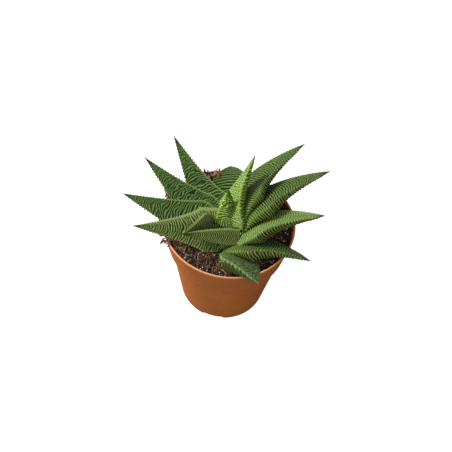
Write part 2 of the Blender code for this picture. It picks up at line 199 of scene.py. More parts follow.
def tubes(paths: Array, side: Array, up: Array, thick: Array, sides: int) -> Surface:
    """Round tubes along many paths, each closed by a point at both ends.

    A ring's points lie on the path plus the radius times side times the cosine and up times the sine of
    an even angle.

    Args:
        paths: tubes, then the points of each path, then x, y, z.
        side: unit directions across the paths.
        up: unit directions across the paths and square to side.
        thick: radius at each point of each path.
        sides: number of points round each ring.

    Returns:
        All the tubes as one surface.
    """
    angle = np.arange(sides) / sides * math.tau
    ring = side[..., None, :] * np.cos(angle)[:, None] + up[..., None, :] * np.sin(angle)[:, None]
    rings = paths[:, :, None] + ring * thick[..., None, None]
    shape = capped(rings[0], paths[0, 0], paths[0, -1])
    points = np.concatenate([rings.reshape(len(paths), -1, 3), paths[:, :1], paths[:, -1:]], 1)
    return many(points, shape.quads, shape.triangles)


def ball_angles(rows: int, columns: int) -> tuple[Array, Array]:
    """Angles of a ball's grid, whose first and last rings lie half a step off the poles.

    Args:
        rows: number of rings from pole to pole.
        columns: number of points round each ring.

    Returns:
        Angles from the first pole as a column, and angles round the axis as a row.
    """
    polar = (np.arange(rows) + 0.5)[:, None] / rows * math.pi
    around = np.arange(columns)[None] / columns * math.tau
    return polar, around


def coarse_ball(rows: int, columns: int) -> Surface:
    """A ball of few faces with a radius of 1: rings at even angles, closed at both poles.

    Args:
        rows: number of rings from pole to pole.
        columns: number of points round each ring.

    Returns:
        The closed ball.
    """
    polar, around = ball_angles(rows, columns)
    level = np.sin(polar)
    rings = np.stack([level * np.cos(around), level * np.sin(around), np.cos(polar) + 0 * around], -1)
    return capped(rings, np.array([0.0, 0.0, 1.0]), np.array([0.0, 0.0, -1.0]))


def random_turns(rng: np.random.Generator, count: int, lean: float) -> Array:
    """Turning matrices: any direction in plan, leaning by up to an angle about two level axes.

    Args:
        rng: the source of random numbers.
        count: number of matrices.
        lean: greatest lean in degrees.

    Returns:
        A matrix for each bit.
    """
    yaw = rng.uniform(0, math.tau, count)
    pitch, tilt = np.radians(rng.uniform(-lean, lean, (2, count)))
    zero, one = np.zeros(count), np.ones(count)
    spin = [[np.cos(yaw), -np.sin(yaw), zero], [np.sin(yaw), np.cos(yaw), zero], [zero, zero, one]]
    nod = [[np.cos(pitch), zero, np.sin(pitch)], [zero, one, zero], [-np.sin(pitch), zero, np.cos(pitch)]]
    bank = [[one, zero, zero], [zero, np.cos(tilt), -np.sin(tilt)], [zero, np.sin(tilt), np.cos(tilt)]]
    first, second, third = (np.moveaxis(np.array(rows), -1, 0) for rows in (spin, nod, bank))
    return first @ second @ third


def normals_of(rings: Array) -> Array:
    """Unit normals of a grid closed round its columns, from the cross product of its two slopes.

    Args:
        rings: points as rows of rings.

    Returns:
        A normal at each point.
    """
    along = np.gradient(rings, axis=0)
    around = np.roll(rings, -1, axis=1) - np.roll(rings, 1, axis=1)
    normal = np.cross(around, along)
    shortest = 1e-9
    return normal / np.maximum(np.linalg.norm(normal, axis=-1, keepdims=True), shortest)


def smooth_step(value: Array, low: float, high: float) -> Array:
    """Rises from 0 at low to 1 at high with level ends: 3 times the square less twice the cube."""
    share = np.clip((value - low) / (high - low), 0.0, 1.0)
    return share * share * (3.0 - 2.0 * share)


def waves(seed: int, x: Array, y: Array, length: float, count: int = 7) -> Array:
    """Smooth irregular waves between about -1 and 1: a sum of sines with scattered directions and phases.

    Each sine has 0.6 to 1.6 times the typical length.

    Args:
        seed: picks the directions and phases.
        x: first coordinate.
        y: second coordinate.
        length: typical distance from crest to crest.
        count: number of sines in the sum.

    Returns:
        The height of the waves at each point.
    """
    rng = np.random.default_rng(seed)
    turn = rng.uniform(0, math.tau, count)
    pace = math.tau / (length * rng.uniform(0.6, 1.6, count))
    phase = rng.uniform(0, math.tau, count)
    total = np.zeros(np.broadcast(x, y).shape)
    for angle, rate, start in zip(turn, pace, phase):
        total = total + np.sin(rate * (x * math.cos(angle) + y * math.sin(angle)) + start)
    return total / math.sqrt(count)


def piece_from(name: str, surface: Surface, finish: bpy.types.Material) -> bpy.types.Object:
    """Puts a surface into the scene as a smooth piece that rides on the object's one body.

    Args:
        name: name of the piece.
        surface: its shape.
        finish: its material.

    Returns:
        The new object.
    """
    mesh = bpy.data.meshes.new(name)
    mesh.vertices.add(len(surface.points))
    mesh.vertices.foreach_set("co", (surface.points * MM).astype(np.float32).ravel())
    corners = np.concatenate([surface.quads.ravel(), surface.triangles.ravel()]).astype(np.int32)
    sizes = np.concatenate([np.full(len(surface.quads), 4), np.full(len(surface.triangles), 3)])
    mesh.loops.add(len(corners))
    mesh.loops.foreach_set("vertex_index", corners)
    mesh.polygons.add(len(sizes))
    starts = np.concatenate([[0], np.cumsum(sizes)[:-1]]).astype(np.int32)
    mesh.polygons.foreach_set("loop_start", starts)
    mesh.update(calc_edges=True)
    for label, value in surface.values.items():
        kept = mesh.attributes.new(label, "FLOAT", "POINT")
        kept.data.foreach_set("value", value.astype(np.float32))
    mesh.shade_smooth()
    mesh.materials.append(finish)
    obj = bpy.data.objects.new(name, mesh)
    bpy.context.scene.collection.objects.link(obj)
    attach(obj, BODY)
    log.info("%s: %d faces", name, len(sizes))
    return obj


# ---------------------------------------------------------------- finishes


def tint(colour: Colour) -> tuple[float, float, float, float]:
    """A screen colour of 0 to 255 as linear light, by the usual screen curve.

    Args:
        colour: red, green and blue from 0 to 255.

    Returns:
        Red, green and blue from 0 to 1, and full opacity.
    """
    share = np.array(colour) / 255
    linear = np.where(share <= 0.04045, share / 12.92, ((share + 0.055) / 1.055) ** 2.4)
    return (*(float(value) for value in linear), 1.0)


class Socket(Enum):
    """Kinds of socket on a node group."""

    PLACE = "NodeSocketVector"
    NUMBER = "NodeSocketFloat"
    COLOUR = "NodeSocketColor"


class Tree:
    """Adds nodes and links to one node tree."""

    def __init__(self, tree: bpy.types.NodeTree) -> None:
        """Keeps the tree."""
        self.tree = tree

    def add(self, kind: str, **settings: object) -> bpy.types.Node:
        """A new node with its properties set.

        Args:
            kind: the node's type.
            settings: its properties by name.

        Returns:
            The node.
        """
        node = self.tree.nodes.new(kind)
        for name, value in settings.items():
            setattr(node, name, value)
        return node

    def link(self, source: bpy.types.NodeSocket, target: bpy.types.NodeSocket) -> None:
        """Joins an output to an input."""
        self.tree.links.new(source, target)

    def give(self, target: bpy.types.NodeSocket, value: object) -> None:
        """Links an output to an input, or sets the input's plain value.

        Args:
            target: the input.
            value: an output to link, or a number, vector or colour.
        """
        if isinstance(value, bpy.types.NodeSocket):
            self.link(value, target)
        else:
            target.default_value = value

    def fill(self, node: bpy.types.Node, values: dict[str, object]) -> bpy.types.Node:
        """Gives a node's inputs by name.

        Args:
            node: the node.
            values: outputs or plain values by the names of the inputs.

        Returns:
            The same node.
        """
        for name, value in values.items():
            self.give(node.inputs[name], value)
        return node

    def group(self, inner: bpy.types.NodeTree, values: dict[str, object]) -> bpy.types.Node:
        """A node group placed in this tree, with its inputs given by name."""
        return self.fill(self.add("ShaderNodeGroup", node_tree=inner), values)

    def math(self, kind: str, first: object, second: object) -> bpy.types.NodeSocket:
        """A sum, product or other reckoning of two values.

        Args:
            kind: the node's operation.
            first: an output or a number.
            second: an output or a number.

        Returns:
            The result.
        """
        node = self.add("ShaderNodeMath", operation=kind)
        self.give(node.inputs[0], first)
        self.give(node.inputs[1], second)
        return node.outputs[0]

    def times(self, first: object, second: object) -> bpy.types.NodeSocket:
        """The product of two values."""
        return self.math("MULTIPLY", first, second)

    def mix(self, share: object, first: object, second: object) -> bpy.types.NodeSocket:
        """A colour between two colours.

        Args:
            share: 0 gives the first and 1 the second.
            first: an output or a colour.
            second: an output or a colour.

        Returns:
            The mixed colour.
        """
        node = self.add("ShaderNodeMix", data_type="RGBA")
        self.give(node.inputs["Factor"], share)
        self.give(node.inputs[MIX_FIRST], first)
        self.give(node.inputs[MIX_SECOND], second)
        return node.outputs[MIX_RESULT]

    def noise(self, place: object, scale: float, detail: float = 3.0) -> bpy.types.NodeSocket:
        """Cloudy values between 0 and 1.

        Args:
            place: the coordinates that carry the clouds.
            scale: number of clouds to the metre.
            detail: number of finer layers laid on them.

        Returns:
            The value at each place.
        """
        node = self.add("ShaderNodeTexNoise")
        return self.fill(node, {"Vector": place, "Scale": scale, "Detail": detail}).outputs["Fac"]

    def ramp(
        self, value: object, low: float, high: float, start: float = 0.0, end: float = 1.0
    ) -> bpy.types.NodeSocket:
        """Values between low and high stretched evenly to run from start to end, and kept inside them.

        Args:
            value: the value to stretch.
            low: the value that gives start.
            high: the value that gives end.
            start: the first result.
            end: the last result.

        Returns:
            The stretched value.
        """
        numbers = {"Value": value, "From Min": low, "From Max": high, "To Min": start, "To Max": end}
        return self.fill(self.add("ShaderNodeMapRange"), numbers).outputs["Result"]

    def place(self) -> bpy.types.NodeSocket:
        """The piece's own coordinates."""
        return self.add("ShaderNodeTexCoord").outputs["Object"]

    def value(self, name: str) -> bpy.types.NodeSocket:
        """A value kept at the piece's points."""
        return self.add("ShaderNodeAttribute", attribute_name=name).outputs["Fac"]


def new_group(
    name: str, inputs: dict[str, Socket], outputs: dict[str, Socket]
) -> tuple[Tree, bpy.types.Node, bpy.types.Node]:
    """An empty shader node group with its sockets.

    Args:
        name: the group's name.
        inputs: kinds of the inputs by name.
        outputs: kinds of the outputs by name.

    Returns:
        The group's tree, its input node and its output node.
    """
    group = bpy.data.node_groups.new(name, "ShaderNodeTree")
    for way, sockets in (("INPUT", inputs), ("OUTPUT", outputs)):
        for label, kind in sockets.items():
            group.interface.new_socket(label, in_out=way, socket_type=kind.value)
    tree = Tree(group)
    return tree, tree.add("NodeGroupInput"), tree.add("NodeGroupOutput")


def speck_group() -> bpy.types.NodeTree:
    """Scattered small spots, each near the middle of a cell of a broken pattern with wobbly sides.

    A cell holds a spot where its own random number is below the share. The spot's strength is its radius
    less the distance from the middle, times its sharpness, kept between 0 and 1.

    Returns:
        The group, which puts out the spots as a mask.
    """
    wobble_scale, wobble, sharpness = 900.0, 0.0006, 8.0
    inputs = {"Place": Socket.PLACE, **dict.fromkeys(("Scale", "Share", "Radius"), Socket.NUMBER)}
    tree, given, made = new_group("Specks", inputs, {"Mask": Socket.NUMBER})
    into = given.outputs
    noise = tree.fill(tree.add("ShaderNodeTexNoise"), {"Vector": into["Place"], "Scale": wobble_scale})
    shifted = tree.add("ShaderNodeVectorMath", operation="MULTIPLY_ADD")
    for socket, value in zip(shifted.inputs, (noise.outputs["Color"], (wobble,) * 3, into["Place"])):
        tree.give(socket, value)
    cells = tree.add("ShaderNodeTexVoronoi", feature="F1")
    tree.fill(cells, {"Vector": shifted.outputs[0], "Scale": into["Scale"]})
    chance = tree.add("ShaderNodeSeparateColor")
    tree.link(cells.outputs["Color"], chance.inputs[0])
    chosen = tree.math("LESS_THAN", chance.outputs[0], into["Share"])
    inside = tree.math("SUBTRACT", into["Radius"], cells.outputs["Distance"])
    soft = tree.ramp(tree.times(inside, sharpness), 0.0, 1.0)
    tree.link(tree.times(soft, chosen), made.inputs["Mask"])
    return tree.tree


def skin_group() -> bpy.types.NodeTree:
    """Leaf skin, laid on in order: clouded valleys, paler ribs, a pale toothed edge and a dry tip.

    Each layer is mixed over the one before by a value kept on the leaf. Near the foot the valleys take
    the foot colour, the foot's own tint together with painted shade where the leaves crowd the crown.
    Clouds darken the valleys in patches, and fine grain breaks up the ribs and the edge.

    Returns:
        The group, which puts out a colour, a roughness and a height.
    """
    cloud_scale, grain_scale, grain_detail = 140.0, 1500.0, 2.0
    foot_tint_and_shade_strength, deepest, patches = 0.8, 0.5, 0.6
    numbers = dict.fromkeys(LEAF_VALUES, Socket.NUMBER)
    colours = dict.fromkeys(LEAF_COLOURS, Socket.COLOUR)
    outputs = {"Colour": Socket.COLOUR, "Roughness": Socket.NUMBER, "Height": Socket.NUMBER}
    tree, given, made = new_group("Leaf skin", {"Place": Socket.PLACE, **numbers, **colours}, outputs)
    into = given.outputs
    cloud = tree.ramp(tree.noise(into["Place"], cloud_scale), 0.3, 0.7)
    fine = tree.noise(into["Place"], grain_scale, grain_detail)
    valley = tree.mix(into["Under"], into["Valley"], into["Under Valley"])
    crest = tree.mix(into["Under"], into["Crest"], into["Under Crest"])
    # Near the foot the valleys take the foot colour: its own tint together with painted shade among the
    # crowded leaf feet.
    valley_tinted_and_shaded = tree.mix(tree.times(into["Foot_Tint_And_Shade"], foot_tint_and_shade_strength), valley, into["Foot Tint And Shade Colour"])
    deep = tree.mix(deepest, valley_tinted_and_shaded, tree.mix(cloud, tint(BLACK), valley_tinted_and_shaded))
    ground = tree.mix(tree.ramp(cloud, 0.0, 1.0, end=patches), valley_tinted_and_shaded, deep)
    rib = tree.times(into["Ridge"], tree.ramp(fine, 0.25, 0.7, start=0.55))
    # Dark valleys and pale ribs: partly the skin's own pattern, partly painted shade and painted highlight
    # on the relief.
    ribbed = tree.mix(rib, ground, crest)
    edge = tree.times(into["Edge"], tree.ramp(fine, 0.2, 0.6, start=0.5))
    edged = tree.mix(edge, ribbed, into["Edge Colour"])
    dry = tree.times(into["Tip"], tree.ramp(cloud, 0.0, 1.0, start=0.8))
    roughness = tree.ramp(fine, 0.2, 0.8, 0.42, 0.6)
    colour = tree.mix(dry, edged, into["Tip Colour"])
    tree.fill(made, {"Colour": colour, "Roughness": roughness, "Height": fine})
    return tree.tree


@dataclass(frozen=True)
class Specks:
    """Scattered spots on a finish.

    Attributes:
        scale: cells to the metre.
        share: share of the cells that hold a spot.
        radius: a spot's radius, in cells.
        strength: how far a spot covers what is below it.
    """

    scale: float
    share: float
    radius: float
    strength: float

    def over(
        self, tree: Tree, group: bpy.types.NodeTree, ground: bpy.types.NodeSocket, colour: Colour
    ) -> bpy.types.NodeSocket:
        """Lays the spots on a ground.

        Args:
            tree: the material's tree.
            group: the group of scattered spots.
            ground: the colour below them.
            colour: the spots' own colour.

        Returns:
            The spotted colour.
        """
        given = {"Place": tree.place(), "Scale": self.scale, "Share": self.share, "Radius": self.radius}
        mask = tree.group(group, given).outputs["Mask"]
        return tree.mix(tree.times(mask, self.strength), ground, tint(colour))


@dataclass(frozen=True)
class Finish:
    """What every finish shares: a material with one shader.

    Attributes:
        name: the material's name.
        roughness: the shader's plain roughness.
        specular: strength of the shader's plain reflection.
        relief: depth of the grain, in metres.
    """

    name: str
    roughness: float = 0.6
    specular: float = 0.5
    relief: float = 0.0002

    def start(self) -> tuple[bpy.types.Material, Tree, bpy.types.Node]:
        """Makes the material and gives its shader the plain values.

        Returns:
            The material, its tree and its shader.
        """
        made = bpy.data.materials.new(self.name)
        made.use_nodes = True
        shader = made.node_tree.nodes["Principled BSDF"]
        tree = Tree(made.node_tree)
        tree.fill(shader, {"Roughness": self.roughness, "Specular IOR Level": self.specular})
        return made, tree, shader

    def dress(
        self,
        tree: Tree,
        shader: bpy.types.Node,
        colour: bpy.types.NodeSocket,
        height: bpy.types.NodeSocket,
    ) -> None:
        """Colours the shader, and roughens its normal by a height times the relief.

        Args:
            tree: the material's tree.
            shader: its shader.
            colour: the colour over the surface.
            height: the grain over the surface, from 0 to 1.
        """
        bump = tree.add("ShaderNodeBump")
        tree.fill(bump, {"Distance": self.relief, "Strength": 1.0, "Height": height})
        tree.fill(shader, {"Base Color": colour, "Normal": bump.outputs["Normal"]})


@dataclass(frozen=True)
class LeafFinish(Finish):
    """Waxy ribbed skin, with the colours of a grown leaf unless others are given.

    Attributes:
        valley: colour between the ribs on the upper face, partly the skin's own and partly painted shade
            in the rib valleys.
        crest: colour of the ribs on the upper face, partly the skin's own and partly painted highlight on
            the ribs.
        under_valley: colour between the ribs below, likewise partly painted shade.
        under_crest: colour of the ribs below, likewise partly painted highlight.
        edge: colour of the toothed edges.
        tip: colour of the dry tip.
        foot_tint_and_shade: colour of the valleys near the foot, its own tint together with painted shade
            where the leaves crowd the crown.
    """

    specular: float = 0.08
    relief: float = 0.00008
    valley: Colour = (12, 40, 0)
    crest: Colour = (122, 146, 80)
    under_valley: Colour = (30, 46, 0)
    under_crest: Colour = (118, 136, 56)
    edge: Colour = (140, 156, 98)
    tip: Colour = (54, 34, 20)
    # Colour near the foot: its own tint together with painted shade where the leaves crowd the crown.
    foot_tint_and_shade: Colour = (30, 54, 0)

    def material(self, skin: bpy.types.NodeTree) -> bpy.types.Material:
        """The material, which reads the values kept on the leaf.

        Args:
            skin: the leaf skin group.

        Returns:
            The finished material.
        """
        made, tree, shader = self.start()
        values = {label: tree.value(label.lower()) for label in LEAF_VALUES}
        above, below = (self.valley, self.crest), (self.under_valley, self.under_crest)
        own = (*above, *below, self.edge, self.tip, self.foot_tint_and_shade)
        colours = {label: tint(colour) for label, colour in zip(LEAF_COLOURS, own)}
        group = tree.group(skin, {"Place": tree.place(), **values, **colours})
        tree.link(group.outputs["Roughness"], shader.inputs["Roughness"])
        self.dress(tree, shader, group.outputs["Colour"], group.outputs["Height"])
        return made


@dataclass(frozen=True)
class PotPlastic(Finish):
    """Matt moulded plastic with paler rubbed edges, dust, and a few specks and scuffs.

    Attributes:
        base: colour of the plastic.
        shade: colour of its darker clouds.
        worn: colour of rubbed edges and pale grain.
        dust: colour of the pale specks.
        dirt: colour of the dark specks and of the soil inside.
        pale_specks: the specks of dust.
        dark_specks: the specks of dirt.
    """

    specular: float = 0.22
    relief: float = 0.00005
    base: Colour = (190, 104, 22)
    shade: Colour = (178, 94, 20)
    worn: Colour = (214, 148, 108)
    dust: Colour = (196, 150, 118)
    dirt: Colour = (70, 44, 30)
    pale_specks: Specks = Specks(330.0, 0.04, 0.2, 0.6)
    dark_specks: Specks = Specks(260.0, 0.035, 0.2, 0.7)

    def material(self, specks: bpy.types.NodeTree) -> bpy.types.Material:
        """The material, which reads how rubbed and how dirty each place is.

        Args:
            specks: the group of scattered spots.

        Returns:
            The finished material.
        """
        cloud_scale, scuff_scale, soil_scale, grain_scale = 45.0, 220.0, 260.0, 1400.0
        made, tree, shader = self.start()
        place = tree.place()
        cloud = tree.ramp(tree.noise(place, cloud_scale, 5.0), 0.35, 0.65)
        fine = tree.noise(place, grain_scale)
        ground = tree.mix(cloud, tint(self.shade), tint(self.base))
        grained = tree.mix(tree.ramp(fine, 0.4, 0.75, end=0.25), ground, tint(self.worn))
        dusted = self.pale_specks.over(tree, specks, grained, self.dust)
        specked = self.dark_specks.over(tree, specks, dusted, self.dirt)
        rubbed = tree.times(tree.value("worn"), tree.ramp(fine, 0.2, 0.6, start=0.7))
        edged = tree.mix(rubbed, specked, tint(self.worn))
        soiled = tree.times(tree.value("soiled"), tree.ramp(tree.noise(place, soil_scale), 0.4, 0.62))
        scuffed = tree.ramp(tree.noise(place, scuff_scale, 4.0), 0.3, 0.7, 0.5, 0.68)
        tree.link(scuffed, shader.inputs["Roughness"])
        self.dress(tree, shader, tree.mix(soiled, edged, tint(self.dirt)), fine)
        return made


@dataclass(frozen=True)
class Litter(Finish):
    """Broken organic matter, from dark to pale by a value kept on each crumb or strand.

    Attributes:
        dark: colour at tone 0, and the painted shade laid in the grain's hollows.
        middle: colour at tone 0.5.
        pale: colour at tone 1 and of the grits.
        grain: scale of the fine grain, to the metre.
        grits: the pale grits.
    """

    relief: float = 0.0003
    dark: Colour = (14, 8, 3)
    middle: Colour = (72, 50, 30)
    pale: Colour = (168, 138, 100)
    grain: float = 700.0
    grits: Specks = Specks(620.0, 0.05, 0.3, 0.5)

    def material(self, specks: bpy.types.NodeTree) -> bpy.types.Material:
        """The material, with fine grain and a few pale grits.

        Args:
            specks: the group of scattered spots.

        Returns:
            The finished material.
        """
        made, tree, shader = self.start()
        fine = tree.noise(tree.place(), self.grain, 4.0)
        tone = tree.value("tone")
        low = tree.mix(tree.ramp(tone, 0.0, 0.5), tint(self.dark), tint(self.middle))
        full = tree.mix(tree.ramp(tone, 0.5, 1.0), low, tint(self.pale))
        # Painted shade: the grain's hollows are darkened towards the dark colour.
        shaded = tree.mix(tree.ramp(fine, 0.3, 0.62, 0.65, 0.0), full, tint(self.dark))
        self.dress(tree, shader, self.grits.over(tree, specks, shaded, self.pale), fine)
        return made


@dataclass(frozen=True)
class Tissue(Finish):
    """Smooth pale tissue of the stem and roots, a little blotched.

    Attributes:
        shade: colour of the blotches.
        light: colour between them.
    """

    shade: Colour = (122, 108, 64)
    light: Colour = (198, 188, 134)

    def material(self) -> bpy.types.Material:
        """The material, between two tones by clouds, with a fine grain.

        Returns:
            The finished material.
        """
        cloud_scale, grain_scale = 160.0, 900.0
        made, tree, shader = self.start()
        place = tree.place()
        cloud = tree.ramp(tree.noise(place, cloud_scale, 4.0), 0.35, 0.65)
        colour = tree.mix(cloud, tint(self.shade), tint(self.light))
        self.dress(tree, shader, colour, tree.noise(place, grain_scale))
        return made


class Finishes:
    """Every material of the plant, made once."""

    def __init__(self) -> None:
        """Builds the shared groups and then each material."""
        specks = speck_group()
        skin = skin_group()
        self.pot = PotPlastic("terracotta_plastic").material(specks)
        self.mix = Litter("potting_mix", 0.95).material(specks)
        self.bark = Litter(
            "bark_flake", 0.9, dark=(48, 28, 18), middle=(120, 80, 52), pale=(196, 158, 118), grain=420.0
        ).material(specks)
        self.perlite = Litter(
            "perlite", 0.9, dark=(150, 140, 118), middle=(206, 200, 180), pale=(240, 238, 226),
            grain=900.0,
        ).material(specks)
        self.pale = Tissue("pale_tissue", 0.7).material()
        # Young skin: lower ribs paler, partly as painted light on a lit flank; foot darker, partly as
        # painted shade cast by the leaf in front.
        young = LeafFinish(
            "young_leaf_skin", valley=(78, 112, 14), crest=(212, 232, 152), under_valley=(68, 102, 4),
            under_crest=(212, 234, 132), edge=(150, 172, 88), foot_tint_and_shade=(64, 94, 6),
        )
        broad = LeafFinish(
            "broad_leaf_skin", valley=(84, 108, 40), crest=(158, 182, 116), under_valley=(26, 44, 0),
            under_crest=(160, 182, 92), foot_tint_and_shade=(62, 88, 14),
        )
        inner = LeafFinish(
            "inner_leaf_skin", valley=(26, 50, 0), crest=(158, 174, 104), under_valley=(30, 46, 0),
            edge=(156, 176, 104), foot_tint_and_shade=(40, 58, 0),
        )
        # Keeled skin: upper face darker, partly as painted shade among the leaves; lower ribs paler,
        # partly as painted light on the flank that faces the light.
        keeled = LeafFinish(
            "keeled_leaf_skin", valley=(30, 50, 4), crest=(128, 152, 88), under_valley=(26, 44, 0),
            under_crest=(178, 200, 104), foot_tint_and_shade=(70, 96, 4),
        )
        old = LeafFinish(
            "old_leaf_skin", valley=(80, 100, 52), crest=(122, 142, 94), under_valley=(56, 78, 26),
            under_crest=(118, 138, 80), edge=(140, 150, 100), tip=(150, 140, 104), foot_tint_and_shade=(60, 84, 24),
        )
        self.leaves = {
            Stage.BUD: young.material(skin),
            Stage.BROAD: broad.material(skin),
            Stage.INNER: inner.material(skin),
            Stage.GROWN: LeafFinish("leaf_skin").material(skin),
            Stage.KEELED: keeled.material(skin),
            Stage.OLD: old.material(skin),
        }
        self.leaves[Stage.YOUNG] = self.leaves[Stage.BUD]


# ---------------------------------------------------------------- pot


@dataclass(frozen=True)
class Pot:
    """The moulded pot: floor, tapering body, shoulder and flared rim band, open at three foot channels.

    Attributes:
        rim_radius: outer radius at the lip.
        height: height of the lip.
        band_height: height of the rim band.
        band_bottom_radius: outer radius at the band's lower edge.
        body_top_radius: outer radius just under the shoulder.
        base_radius: outer radius at the foot, before it is rounded.
        wall: thickness of the wall.
        floor: height of the floor's upper side.
        lip_round: radius of the lip's outer round.
        shoulder: height of the slope from body to band.
        base_round: radius of the foot's round.
        edge_gap: distance from the shoulder to the last plain ring below it.
        band_gap: distance of the nearest rings above and below the band's edge.
        pole_radius: radius of the smallest rings, round the middle of the underside and of the floor.
        channel_count: number of foot channels.
        channel_width: width of a channel.
        channel_height: height of a channel.
        channel_start: distance of a channel's inner end from the axis.
        channel_turn: direction of the first channel.
        channel_side: half the width of a channel's sloping side.
        channel_lead: length of the slope at a channel's inner end.
        ring_heights: heights of the faint rings.
        ring_depth: depth of the faint rings.
        ring_width: half the width of the faint rings.
        sway_depth: how far the wall strays from round.
        sway_length: distance from crest to crest of that.
        sway_seed: picks its waves.
        sway_circle: radius of the circle on which its waves are read.
        sway_squeeze: how much more slowly they change upwards than round the pot.
        sway_rise: heights between which it sets in.
        rubbed_top: distances below the lip between which the rubbing sets in.
        rubbed_edge: how far the band's lower edge is rubbed, and half the height of that.
        soiled_top: distances below the lip between which soil sets in on the inside.
        arc_points: number of points on each round corner.
        columns: number of points round each ring.
        step: greatest distance from ring to ring.
    """

    rim_radius: float = 42.5
    height: float = 75.0
    band_height: float = 21.0
    band_bottom_radius: float = 38.9
    body_top_radius: float = 37.0
    base_radius: float = 29.6
    wall: float = 1.2
    floor: float = 1.6
    lip_round: float = 0.55
    shoulder: float = 1.6
    base_round: float = 1.8
    edge_gap: float = 0.6
    band_gap: float = 0.4
    pole_radius: float = 0.3
    channel_count: int = 3
    channel_width: float = 14.0
    channel_height: float = 3.0
    channel_start: float = 13.0
    channel_turn: float = -98.0
    channel_side: float = 0.35
    channel_lead: float = 0.5
    ring_heights: tuple[float, ...] = (26.0, 29.0, 32.5, 45.0)
    ring_depth: float = 0.14
    ring_width: float = 0.5
    sway_depth: float = 0.10
    sway_length: float = 26.0
    sway_seed: int = 3
    sway_circle: float = 20.0
    sway_squeeze: float = 3.0
    sway_rise: Range = (4.0, 20.0)
    rubbed_top: Range = (1.1, 0.5)
    rubbed_edge: Range = (0.35, 0.8)
    soiled_top: Range = (1.2, 4.5)
    arc_points: int = 9
    columns: int = 288
    step: float = 0.9

    def outside(self, height: Array | float) -> Array:
        """Radius of the outer wall at a height, on straight lines between foot, shoulder, band and rim.

        Args:
            height: one height or several.

        Returns:
            The radius at each height.
        """
        band = self.height - self.band_height
        heights = [0.0, band - self.shoulder, band, self.height]
        radii = [self.base_radius, self.body_top_radius, self.band_bottom_radius, self.rim_radius]
        return np.interp(height, heights, radii)

    def arc(self, centre: Range, radius: float, start: float, end: float) -> Array:
        """Points of a round corner of the section, at even angles.

        Args:
            centre: radius and height of the round's centre.
            radius: the round's radius.
            start: its first angle, from 0 outwards.
            end: its last angle.

        Returns:
            Rows of radius and height.
        """
        angle = np.radians(np.linspace(start, end, self.arc_points))
        return np.stack([centre[0] + radius * np.cos(angle), centre[1] + radius * np.sin(angle)], -1)

    def profile(self) -> Array:
        """The wall's section, from the underside's middle round the lip to the floor's middle.

        It is a chain of straight lines and round corners, with more points on its long straights.

        Returns:
            Rows of radius and height.
        """
        band = self.height - self.band_height
        lip = self.lip_round
        inner = self.rim_radius - self.wall
        below = band - self.shoulder
        bends = np.array([below - self.edge_gap, below, band - self.band_gap, band + self.band_gap])
        floor_edge = float(self.outside(self.floor)) - self.wall
        parts = [
            np.array([[self.pole_radius, 0.0]]),
            self.arc((self.base_radius - self.base_round, self.base_round), self.base_round, -90, 0),
            np.stack([self.outside(bends), bends], -1),
            self.arc((self.rim_radius - lip, self.height - lip), lip, 0, 90),
            self.arc((inner + lip / 2, self.height - lip), lip / 2, 90, 180),
            np.stack([self.outside(bends[::-1]) - self.wall, bends[::-1]], -1),
            np.array([[floor_edge, self.floor], [self.pole_radius, self.floor]]),
        ]
        corners = np.concatenate(parts)
        gaps = np.linalg.norm(np.diff(corners, axis=0), axis=1)
        far = np.concatenate([[0.0], np.cumsum(gaps)])
        extra = np.arange(0.0, far[-1], self.step)
        at = np.unique(np.round(np.concatenate([far, extra]), 4))
        return np.stack([np.interp(at, far, corners[:, 0]), np.interp(at, far, corners[:, 1])], -1)

    def in_channel(self, x: Array, y: Array, spare: float) -> Array:
        """Where the foot channels lie: long level strips out from near the axis, with steep smooth sides.

        Args:
            x: first coordinate.
            y: second coordinate.
            spare: how much wider than the channel to count, on each side.

        Returns:
            1 inside a channel and 0 outside it.
        """
        inside = np.zeros(x.shape)
        for index in range(self.channel_count):
            turn = math.radians(self.channel_turn + index * 360 / self.channel_count)
            ahead = x * math.cos(turn) + y * math.sin(turn)
            side = np.abs(y * math.cos(turn) - x * math.sin(turn))
            edge = self.channel_width / 2 + spare
            within = 1 - smooth_step(side, edge - self.channel_side, edge + self.channel_side)
            past_start = smooth_step(ahead, self.channel_start - self.channel_lead, self.channel_start)
            inside = np.maximum(inside, within * past_start)
        return inside

    def wear(self, height: Array, outer: Array) -> dict[str, Array]:
        """How worn the pot is: rubbed at its lip and its band's edge, and soiled inside below the lip.

        Args:
            height: height at each point.
            outer: whether each point is on the outside.

        Returns:
            The worn and soiled values.
        """
        top = self.height
        strength, spread = self.rubbed_edge
        worn = smooth_step(height, top - self.rubbed_top[0], top - self.rubbed_top[1])
        at_band = np.exp(-(((height - top + self.band_height) / spread) ** 2))
        soiled = (~outer) * smooth_step(height, top - self.soiled_top[0], top - self.soiled_top[1])
        return {"worn": np.maximum(worn, outer * strength * at_band), "soiled": soiled}

